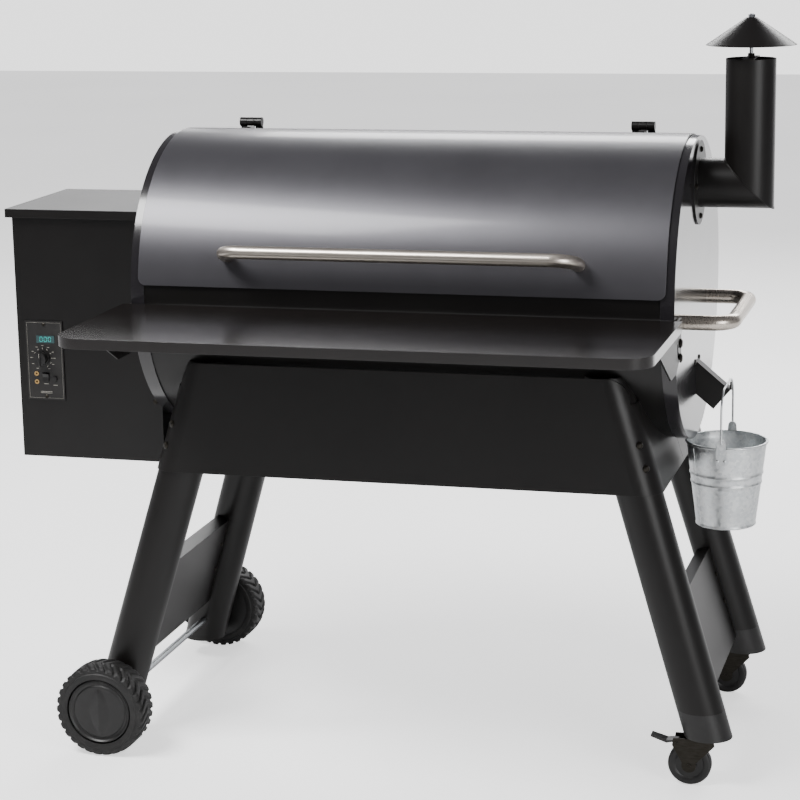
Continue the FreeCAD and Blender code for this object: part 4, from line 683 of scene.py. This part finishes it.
@dataclass
class BigWheels(SubAssembly):
    """Two wide wheels with a chevron tread and a folded hub cap."""

    lugs: int = 30
    steps_per_lug: int = 12
    groove_depth: float = 3.6 * MM
    shoulder: float = 10.0 * MM
    rim_radius: float = 58.0 * MM
    wall_step: float = 1.6 * MM
    fold_height: float = 3.4 * MM
    fold_half_width: float = 17.0 * MM
    fold_reach: float = 42.0 * MM
    chevron_lean: float = 1.15
    rib_half_width: float = 3.0 * MM
    disc_radius: float = 44.0 * MM
    # Radius, and height over the wheel's side, of the rings between hub and disc, in millimetres.
    hub_rings: tuple[tuple[float, float], ...] = (
        (56.5, -4.0), (55.0, -2.2), (53.5, -1.8), (52.0, -3.4), (50.0, -5.0), (47.0, -5.4),
        (45.5, -3.8), (44.0, -3.4))

    def build(self) -> None:
        """Builds and places both wheels."""
        super().build()
        for end, side in (("front", -1), ("rear", 1)):
            centre, radius, half = wheel_size("wheel_tyre_" + end)
            self.place(self.tyre("tread_" + end, centre, radius, half, side), "wheel_" + end,
                       Coating.TREAD, "black_plastic", "wheel_tyre_" + end)
            self.place(self.hub("hub_cap_" + end, centre, half, side), "wheel_" + end,
                       Coating.HUB, "black_plastic", "wheel_hub_" + end)

    def tyre(self, name: str, centre: Vector, radius: float, half: float, side: int) -> bpy.types.Object:
        """Makes one tyre.

        Args:
            name: The piece's name.
            centre: The wheel's middle.
            radius: Outer radius.
            half: Half its width.
            side: -1 for the front wheel and 1 for the rear one.

        Returns:
            The tyre.
        """
        outline = [(self.rim_radius, -half + 1 * MM), (self.rim_radius + 2 * MM, -half)]
        wall = radius - self.shoulder
        outline += [(wall - self.wall_step - 1 * MM, -half), (wall - 1 * MM, -half + self.wall_step)]
        across = 34
        for k in range(across + 1):
            along = -half + self.wall_step + 2 * (half - self.wall_step) * k / across
            inward = max(0.0, abs(along) - (half - self.shoulder))
            drop = self.shoulder - math.sqrt(max(0.0, self.shoulder ** 2 - inward ** 2))
            outline.append((radius - drop * 0.8, along))
        outline += [(wall - 1 * MM, half - self.wall_step), (wall - self.wall_step - 1 * MM, half)]
        outline += [(self.rim_radius + 2 * MM, half), (self.rim_radius, half - 1 * MM)]

        def tread(angle: float, at_radius: float, along: float) -> float:
            """Change of radius that cuts the chevron grooves.

            Args:
                angle: Angle round the wheel.
                at_radius: Radius before the change.
                along: Place across the tread.

            Returns:
                The change, which is never above zero.
            """
            if at_radius < wall:
                return 0.0
            phase = angle * self.lugs / (2 * math.pi) + abs(along) / half * self.chevron_lean
            place = abs(phase % 1.0 - 0.5) * 2
            cut = min(1.0, max(0.0, (place - 0.52) / 0.22))
            centre_rib = min(1.0, abs(along) / self.rib_half_width)
            return -self.groove_depth * cut * centre_rib

        return lathe(name, centre, outline, Vector((0, side, 0)), Vector((0, 0, 1)),
                     self.lugs * self.steps_per_lug, tread)

    def hub(self, name: str, centre: Vector, half: float, side: int) -> bpy.types.Object:
        """Makes one hub: a stepped disc whose cap has a raised upright fold.

        Args:
            name: The piece's name.
            centre: The wheel's middle.
            half: Half the wheel's width.
            side: -1 for the front wheel and 1 for the rear one.

        Returns:
            The hub.
        """
        levels = [(r * MM, half + z * MM) for r, z in self.hub_rings]
        inner = [self.disc_radius * (1 - k / 16) for k in range(1, 16)]
        steps = 120
        out = Vector((0, side, 0))
        verts = []
        seat = self.rim_radius - 0.4 * MM
        outline = [(seat, -half + 3 * MM), (seat, half - 5 * MM)]
        outline += levels + [(r, half - 3.6 * MM) for r in inner]
        for i in range(steps):
            angle = 2 * math.pi * i / steps
            up, along = math.cos(angle), math.sin(angle)
            for radius, level in outline:
                on_disc = radius < self.disc_radius - 1 * MM
                lift = self.fold(radius * along, radius * up) if on_disc else 0.0
                verts.append(centre + Vector((radius * along, 0, radius * up)) + out * (level + lift))
        count = len(outline)
        faces = grid_faces(steps, count, False, True)
        faces.append(tuple(i * count + count - 1 for i in range(steps)))
        faces.append(tuple(i * count for i in range(steps)))
        return mesh_piece(name, verts, faces)

    def fold(self, across: float, up: float) -> float:
        """Height of the cap's lens-shaped fold above the disc at a point.

        Args:
            across: Place across the disc.
            up: Place up the disc.

        Returns:
            The height, zero off the fold.
        """
        if abs(up) >= self.fold_reach:
            return 0.0
        width = self.fold_half_width * (1 - (up / self.fold_reach) ** 2)
        if abs(across) >= width:
            return 0.0
        return self.fold_height * (1 - abs(across) / width) ** 0.8 * min(1.0, width / (6 * MM))


@dataclass
class Casters(SubAssembly):
    """Two braked casters: turned wheels with a raised hub and a moulded groove."""

    drawn_radius: float = 36.0
    tread_groove: float = 0.9 * MM
    # Radius in millimetres on a wheel of the drawn radius, and share of the half width.
    profile: tuple[tuple[float, float], ...] = (
        (3.1, 1.0), (7.0, 1.0), (9.0, 0.92), (10.0, 0.72), (23.0, 0.66), (26.0, 0.84),
        (29.5, 0.90), (33.0, 0.86), (35.0, 0.70), (36.0, 0.45))

    def build(self) -> None:
        """Builds both caster wheels and dresses the forks."""
        super().build()
        for end in ("front", "rear"):
            centre, radius, half = wheel_size("caster_wheel_" + end)
            wheel = lathe("caster_roller_" + end, centre, self.outline(radius, half),
                          Vector((0, 1, 0)), Vector((0, 0, 1)), 96)
            self.place(wheel, "roller_" + end, Coating.HUB, "caster_rubber", "caster_wheel_" + end)

    def outline(self, radius: float, half: float) -> list[tuple[float, float]]:
        """Closed outline of one caster wheel.

        Args:
            radius: Its outer radius.
            half: Half its width.

        Returns:
            Radius and place along the axis of each point.
        """
        grown = radius / self.drawn_radius
        groove = radius - self.tread_groove
        points = [(r * grown, half * share) for r, share in self.profile]
        points += [(groove, half * 0.10), (groove, -half * 0.10)]
        points += [(r * grown, -half * share) for r, share in reversed(self.profile)]
        return points


@dataclass
class Bucket(SubAssembly):
    """Galvanised pail with swaged beads, a rolled rim, a lock seam and riveted ears."""

    rim_radius: float = 68.0 * MM
    base_radius: float = 50.0 * MM
    height: float = 147.0 * MM
    wall: float = 1.2 * MM
    rim_bead: float = 2.2 * MM
    ear_rise: float = 8.0 * MM
    wall_rows: int = 60
    seam_turn: float = -140.0
    seam_rows: int = 24
    bead_places: tuple[float, float] = (0.52, 0.64)
    bead_depth: float = 1.5 * MM
    bead_width: float = 0.018

    def build(self) -> None:
        """Builds the pail, its seam and ears."""
        super().build()
        low, high = box_of("grease_bucket")
        centre = Vector(((low.x + high.x) / 2, (low.y + high.y) / 2, low.z))
        pail = lathe("galvanised_pail", centre, self.outline(), Vector((0, 0, 1)), Vector((1, 0, 0)), 128)
        self.place(pail, "bucket", Coating.ZINC, "zinc_steel", "grease_bucket")
        seam = self.seam(centre)
        self.place(seam, "bucket", Coating.ZINC, "zinc_steel")
        for side in (-1, 1):
            ear = self.ear(centre, side)
            self.place(ear, "bucket", Coating.ZINC, "zinc_steel")

    def radius_at(self, z: float) -> float:
        """Radius of the pail's outside at a height above its base."""
        return self.base_radius + (self.rim_radius - self.base_radius) * z / self.height

    def wall_point(self, row: int, short: float, inset: float) -> tuple[float, float]:
        """A point of the wall, swollen where a swaged bead runs round it.

        Args:
            row: Its row, counted from the base.
            short: How far the wall's rows stop short of the full height.
            inset: How far the point lies inside the outer face.

        Returns:
            Radius and height.
        """
        share = row / (self.wall_rows + 1)
        z = 5 * MM + (self.height - short) * share
        swell = sum(self.bead_depth * math.exp(-((share - bead) / self.bead_width) ** 2)
                    for bead in self.bead_places)
        return self.radius_at(z) + swell - inset, z

    def outline(self) -> list[tuple[float, float]]:
        """Closed outline of the pail's wall.

        Returns:
            Radius and height of each point, from the base's middle round the rim and back.
        """
        points = [(2 * MM, 3.0 * MM), (self.base_radius - 4 * MM, 3.0 * MM),
                  (self.base_radius - 2.2 * MM, 0.3 * MM), (self.base_radius - 0.4 * MM, 0.2 * MM),
                  (self.base_radius + 1.2 * MM, 1.4 * MM), (self.base_radius + 1.2 * MM, 3.2 * MM),
                  (self.base_radius + 0.6 * MM, 4.6 * MM)]
        points += [self.wall_point(row, 12 * MM, 0.0) for row in range(1, self.wall_rows + 1)]
        top = self.height - self.rim_bead
        for k in range(11):
            angle = math.radians(-120 + 27 * k)
            points.append((self.rim_radius + self.rim_bead * math.cos(angle),
                           top + self.rim_bead * math.sin(angle)))
        points.append((self.rim_radius - self.wall - 0.6 * MM, self.height - 8 * MM))
        points += [self.wall_point(row, 14 * MM, self.wall) for row in range(self.wall_rows, 0, -1)]
        points += [(self.base_radius - 3 * MM, 4.4 * MM), (2 * MM, 4.4 * MM)]
        return points

    def seam(self, centre: Vector) -> bpy.types.Object:
        """The flat lock seam up the pail's side.

        Args:
            centre: Middle of the pail's base.

        Returns:
            The seam.
        """
        turn = math.radians(self.seam_turn)
        out = Vector((math.cos(turn), math.sin(turn), 0))
        across = Vector((-out.y, out.x, 0))
        verts, rows = [], self.seam_rows
        for k in range(rows):
            z = 6 * MM + (self.height - 14 * MM) * k / (rows - 1)
            base = centre + out * (self.radius_at(z) - 0.4 * MM) + Vector((0, 0, z))
            for side, lift in ((-3.2, 0.0), (-2.6, 1.1), (2.6, 1.1), (3.2, 0.0)):
                verts.append(base + across * side * MM + out * lift * MM)
        faces = grid_faces(rows, 4, True)
        faces += [(0, 1, 2, 3), tuple(range(4 * rows - 4, 4 * rows))]
        return mesh_piece("pail_lock_seam", verts, faces)

    def ear(self, centre: Vector, side: int) -> bpy.types.Object:
        """One pressed ear with the bail's eye and two rivets.

        Args:
            centre: Middle of the pail's base.
            side: -1 for the front ear and 1 for the rear one.

        Returns:
            The ear.
        """
        y0 = self.rim_radius + self.rim_bead - 0.5 * MM
        eye = Vector((0, 0, self.height + self.ear_rise))
        steps = 32
        verts = []
        for depth in (y0, y0 + 2 * MM):
            for k in range(steps):
                angle = 2 * math.pi * k / steps
                hole = Vector((math.cos(angle), 0, math.sin(angle))) * 1.9 * MM
                verts.append(centre + eye + hole + Vector((0, side * depth, 0)))
            for k in range(steps):
                angle = 2 * math.pi * k / steps
                c, s = math.cos(angle), math.sin(angle)
                wide = 7.0 * MM if s > 0 else 7.0 * MM + 4.0 * MM * -s
                tall = 7.0 * MM if s > 0 else 38.0 * MM
                square = (abs(c) ** 4 + abs(s) ** 4) ** -0.25 if s < 0 else 1.0
                verts.append(centre + eye + Vector((wide * c * square, 0, tall * s * square))
                             + Vector((0, side * depth, 0)))
        faces = []
        for k in range(steps):
            n = (k + 1) % steps
            faces += [(k, n, steps + n, steps + k),
                      (2 * steps + k, 3 * steps + k, 3 * steps + n, 2 * steps + n),
                      (k, 2 * steps + k, 2 * steps + n, n),
                      (steps + k, steps + n, 3 * steps + n, 3 * steps + k)]
        for dx in (-6 * MM, 6 * MM):
            base = len(verts)
            place = centre + Vector((dx, side * (y0 + 1 * MM), self.height - 22 * MM))
            for radius, out in ((2.8, 0.0), (2.8, 1.4), (2.0, 2.2), (0.9, 2.5)):
                for k in range(12):
                    angle = 2 * math.pi * k / 12
                    verts.append(place + Vector((radius * MM * math.cos(angle), side * out * MM,
                                                 radius * MM * math.sin(angle))))
            faces += [tuple(base + i for i in quad) for quad in grid_faces(4, 12, True)]
            faces += [tuple(base + i for i in range(12)), tuple(base + 36 + i for i in range(12))]
        return mesh_piece("pail_ear_front" if side < 0 else "pail_ear_rear", verts, faces)


@dataclass
class ControlPanel(SubAssembly):
    """Printing on the control panel: a dial ring, frames and short unlettered marks."""

    ticks: int = 11
    ring_radius: float = 17.0 * MM
    bar_offset: float = 5.0 * MM
    first_tick: float = -150.0
    tick_step: float = 30.0
    ink: float = 0.15 * MM
    edge: float = 3.0 * MM
    line_mm: float = 0.3

    def build(self) -> None:
        """Dresses the controls and prints the panel."""
        super().build()
        low, high = box_of("controller_plate")
        for name, marks in (("dial_ticks", self.dial_marks(low.y)),
                            ("panel_frame_line", self.frame_lines(low, high)),
                            ("panel_label_bars", self.label_bars(low, high))):
            self.place(self.print_of(name, marks), "frame", Coating.INK, "black_plastic")
        self.place(self.print_of("display_cells", self.lit_cells()), "frame", Coating.CELLS,
                   "display_glass")
        self.place(self.pointer(box_of("temperature_dial")), "dial", Coating.INK, "black_plastic")

    def dial_marks(self, face_y: float) -> list[Block]:
        """Ticks round the dial, and a short level bar outside each.

        Args:
            face_y: The panel's face.

        Returns:
            The marks.
        """
        dial = middle_of("temperature_dial")
        marks = []
        for out, wide, tall, leans in ((0.0, 1.0, 3.2, 1), (self.bar_offset, 4.0, 1.0, 0)):
            reach = self.ring_radius + out
            for k in range(self.ticks):
                angle = math.radians(self.first_tick + self.tick_step * k)
                marks.append(self.mark(dial.x + math.sin(angle) * reach, face_y,
                                       dial.z + math.cos(angle) * reach, wide, tall, -angle * leans))
        return marks

    def frame_lines(self, low: Vector, high: Vector) -> list[Block]:
        """The thin line round the panel's edge.

        Args:
            low: The panel's lowest corner.
            high: The panel's highest corner.

        Returns:
            The four lines.
        """
        edge, line = self.edge, self.line_mm
        width, height = (high.x - low.x - 2 * edge) / MM, (high.z - low.z - 2 * edge) / MM
        mid_x, mid_z = (low.x + high.x) / 2, (low.z + high.z) / 2
        return [self.mark(mid_x, low.y, low.z + edge, width, line),
                self.mark(mid_x, low.y, high.z - edge, width, line),
                self.mark(low.x + edge, low.y, mid_z, line, height),
                self.mark(high.x - edge, low.y, mid_z, line, height)]

    def label_bars(self, low: Vector, high: Vector) -> list[Block]:
        """Plain bars where labels would be: under two controls and at the foot.

        Args:
            low: The panel's lowest corner.
            high: The panel's highest corner.

        Returns:
            The bars.
        """
        spots = [middle_of(node) for node in ("power_rocker", "feed_button")]
        bars = [self.mark(spot.x, low.y, spot.z - 12 * MM, 8.0, 1.0) for spot in spots]
        return bars + [self.mark((low.x + high.x) / 2, low.y, low.z + rise * MM, 22.0, 0.8)
                       for rise in (14.5, 12.0)]

    def lit_cells(self) -> list[Block]:
        """The display's lit cells.

        Returns:
            One mark for each bar.
        """
        low, high = box_of("display_window")
        x, z = (low.x + high.x) / 2, (low.z + high.z) / 2
        return [self.mark(x + dx * MM, low.y, z + dz * MM, wide, tall)
                for dx, dz, wide, tall in self.cell_places()]

    def cell_places(self) -> list[tuple[float, float, float, float]]:
        """Places and sizes, in millimetres, of the lit cells: three upright groups of bars.

        Returns:
            Offset along X and Z from the display's middle, width and height of each bar.
        """
        bars = []
        for x in (-8.0, 0.0, 8.0):
            bars += [(x, 4.0, 4.0, 0.8), (x, -4.0, 4.0, 0.8), (x - 2.4, 2.0, 0.8, 3.2),
                     (x + 2.4, 2.0, 0.8, 3.2), (x - 2.4, -2.0, 0.8, 3.2), (x + 2.4, -2.0, 0.8, 3.2)]
        return bars

    def mark(self, x: float, y: float, z: float, wide_mm: float, tall_mm: float,
             turn: float = 0.0) -> Block:
        """One printed bar on the face.

        Args:
            x: Its middle along X.
            y: The face.
            z: Its middle height.
            wide_mm: Its width.
            tall_mm: Its height.
            turn: Its tilt in radians.

        Returns:
            Corners and faces.
        """
        half = Vector((wide_mm * MM / 2, self.ink / 2, tall_mm * MM / 2))
        corners, quads = block(-half, half)
        spin = Matrix.Rotation(turn, 3, "Y")
        centre = Vector((x, y - self.ink / 2 + 0.02 * MM, z))
        return [centre + spin @ corner for corner in corners], quads

    def print_of(self, name: str, marks: Iterable[Block]) -> bpy.types.Object:
        """One printed layer from several marks."""
        return blocks_piece(name, marks, 0.03)

    def pointer(self, dial: tuple[Vector, Vector]) -> bpy.types.Object:
        """The pale line on the dial's grip.

        Args:
            dial: Lowest and highest corner of the dial.

        Returns:
            The line.
        """
        low, high = dial
        x, z = (low.x + high.x) / 2, (low.z + high.z) / 2
        line = block(Vector((x - 0.5 * MM, low.y - 0.1 * MM, z + 3 * MM)),
                     Vector((x + 0.5 * MM, low.y + 0.3 * MM, z + 10.5 * MM)))
        return blocks_piece("dial_pointer", [line], 0.04)


# ---- studio ---------------------------------------------------------------------------------
@dataclass
class Studio:
    """Pale floor, soft lights, and the camera at the front and a little to the right."""

    floor_half: float = 14.0
    lens: float = 105.7
    yaw: float = 15.53
    pitch: float = 12.49
    roll: float = -1.0
    camera_from_barrel: tuple[float, float, float] = (1.0139, -3.8780, 1.4672)

    def build(self) -> None:
        """Makes the floor, the light and the camera."""
        self.floor()
        self.room()
        self.lights()
        self.camera()

    def floor(self) -> None:
        """A plain pale floor under the wheels."""
        half = self.floor_half
        z = CAD_BOX[0][2] - 0.5 * MM
        piece = mesh_piece("studio_floor", [Vector((x, y, z)) for x, y in
                                            ((-half, -half), (half, -half), (half, half), (-half, half))],
                           [(0, 1, 2, 3)], smooth=False)
        material = bpy.data.materials.new("studio_floor_matt_paint")
        material.use_nodes = True
        tree = material.node_tree
        shader = tree.nodes["Principled BSDF"]
        place = add(tree, "TexCoord").outputs["Object"]
        drift = add(tree, "TexNoise", {"Vector": place, "Scale": 0.6, "Detail": 2.0}).outputs["Fac"]
        tint = ramp(tree, drift, ((0.3, "#f2f2f2"), (0.7, "#f6f6f6")))
        tree.links.new(tint.outputs["Color"], shader.inputs["Base Color"])
        shader.inputs["Roughness"].default_value = 0.9
        seen = add(tree, "LightPath").outputs["Is Camera Ray"]
        lift = add(tree, "Emission", {"Color": tint.outputs["Color"],
                                      "Strength": span(tree, seen, 0.0, 1.2)})
        both = add(tree, "AddShader", {0: shader.outputs[0], 1: lift.outputs[0]})
        tree.links.new(both.outputs[0], tree.nodes["Material Output"].inputs["Surface"])
        piece.data.materials.append(material)

    def room(self) -> None:
        """Light from all round: an even grey room, a little brighter behind the grill."""
        world = bpy.data.worlds.new("studio_room")
        bpy.context.scene.world = world
        world.use_nodes = True
        tree = world.node_tree
        tree.nodes.clear()
        way = add(tree, "TexCoord").outputs["Generated"]
        parts = add(tree, "SeparateXYZ", {"Vector": way}).outputs
        back = span(tree, parts["Y"], 0.0, 1.0, -0.4, 0.9)
        glow = ramp(tree, back, ((0.0, "#777678"), (1.0, "#8a898e")))
        grey = add(tree, "Background", {"Color": glow.outputs["Color"], "Strength": 1.0})
        pale = add(tree, "Background", {"Color": linear("#fafafa"), "Strength": 2.2})
        eye = add(tree, "LightPath").outputs["Is Camera Ray"]
        both = add(tree, "MixShader", {0: eye, 1: grey.outputs[0], 2: pale.outputs[0]})
        add(tree, "OutputWorld", {"Surface": both.outputs[0]})

    def lights(self) -> None:
        """Soft boxes: a broad key over the front left, a top light, and strips behind each end."""
        centre = middle_of("barrel_shell")
        boxes = (("soft_box_key", (-1.7, -1.75, 2.7), (2.2, 1.0), 210.0),
                 ("soft_box_top", (0.3, 4.2, 2.4), (4.5, 1.2), 210.0),
                 ("soft_box_fill", (3.0, -2.6, 0.8), (1.6, 2.0), 78.0),
                 ("soft_box_right_end", (1.55, 2.9, -0.2), (1.9, 2.4), 22.0),
                 ("soft_box_left_rear", (-1.75, 2.2, 0.75), (1.0, 0.9), 7.0))
        for name, place, size, watts in boxes:
            data = bpy.data.lights.new(name, "AREA")
            data.shape = "RECTANGLE"
            data.size, data.size_y = size
            data.energy = watts
            lamp = bpy.data.objects.new(name, data)
            lamp.location = centre + Vector(place)
            lamp.rotation_euler = Vector(place).to_track_quat("Z", "Y").to_euler()
            lamp.visible_camera = False
            bpy.context.scene.collection.objects.link(lamp)

    def camera(self) -> None:
        """A long lens at eye height, front right."""
        yaw, pitch, roll = (math.radians(a) for a in (self.yaw, self.pitch, self.roll))
        ahead = Vector((-math.sin(yaw) * math.cos(pitch), math.cos(yaw) * math.cos(pitch),
                        -math.sin(pitch)))
        right = Vector((math.cos(yaw), math.sin(yaw), 0))
        up = right.cross(ahead)
        tilted_right = right * math.cos(roll) + up * math.sin(roll)
        tilted_up = -right * math.sin(roll) + up * math.cos(roll)
        data = bpy.data.cameras.new("camera")
        data.lens = self.lens
        data.sensor_width = 36.0
        eye = bpy.data.objects.new("camera", data)
        shell = box_of("barrel_shell")
        base = Vector(((shell[0].x + shell[1].x) / 2, (shell[0].y + shell[1].y) / 2, CAD_BOX[0][2]))
        turn = Matrix((tilted_right, tilted_up, -ahead)).transposed().to_4x4()
        eye.matrix_world = Matrix.Translation(base + Vector(self.camera_from_barrel)) @ turn
        bpy.context.scene.collection.objects.link(eye)
        bpy.context.scene.camera = eye


def sub_assemblies() -> list[SubAssembly]:
    """Every sub-assembly of the grill, in the order they are made.

    Returns:
        The sub-assemblies.
    """
    return [
        SubAssembly("barrel", {
            Coating.BODY: ("barrel_shell", "hinge_leaves"),
            Coating.CAP: ("end_cap_left", "end_cap_right")}),
        SubAssembly("lid", {
            Coating.LID: ("lid_shell",),
            Coating.BODY: ("lid_hinge_arms",),
            Coating.BAR_X: ("lid_handle",)}),
        SubAssembly("cooking pieces", {
            Coating.ENAMEL: ("grill_grates", "upper_rack"),
            Coating.SMOKED: ("drip_tray", "heat_baffle", "firepot", "auger_tube", "auger_screw"),
            Coating.PLATED: ("igniter_rod", "temperature_probe")}),
        SubAssembly("hopper", {
            Coating.BODY: ("hopper_casing",),
            Coating.FRAME: ("hopper_lid",),
            Coating.SHEET: ("hopper_bin", "auger_motor"),
            Coating.PLATED: ("pellet_guard",),
            Coating.NYLON: ("fan_housing", "fan_impeller", "power_inlet")}),
        ControlPanel("control panel", {
            Coating.OVERLAY: ("controller_plate",),
            Coating.SCREEN: ("display_window",),
            Coating.NYLON: ("temperature_dial", "power_rocker", "feed_button"),
            Coating.NICKEL: ("probe_jacks",)}),
        Chimney("chimney", {
            Coating.FRAME: ("chimney_pipe", "chimney_cap"),
            Coating.PLATED: ("cap_rod",)}),
        SubAssembly("right end", {
            Coating.BAR_Y: ("side_handle",),
            Coating.FRAME: ("grease_chute",)}),
        Bucket("bucket", {Coating.ZINC: ("bucket_bail",)}),
        SubAssembly("shelf", {
            Coating.SHELF: ("shelf_top",),
            Coating.FRAME: ("shelf_brackets",),
            Coating.BLACKED: ("shelf_pivots",)}),
        SubAssembly("stand", {
            Coating.FRAME: ("leg_front_left", "leg_rear_left", "leg_front_right", "leg_rear_right",
                            "front_apron", "rear_apron", "cross_panels"),
            Coating.NYLON: ("leg_end_caps",),
            Coating.PLATED: ("wheel_axle",),
            Coating.BLACKED: ("frame_bolts",)}),
        BigWheels("big wheels"),
        Casters("casters", {
            Coating.BLACKED: ("caster_fork_front", "caster_fork_rear"),
            Coating.NYLON: ("caster_pedal_front", "caster_pedal_rear")}),
    ]


def main() -> None:
    """Builds the grill's looks, then the studio round it."""
    logging.basicConfig(level=logging.INFO, format="%(name)s %(message)s")
    for assembly in sub_assemblies():
        assembly.build()
    Studio().build()


if __name__ == "__main__":
    main()
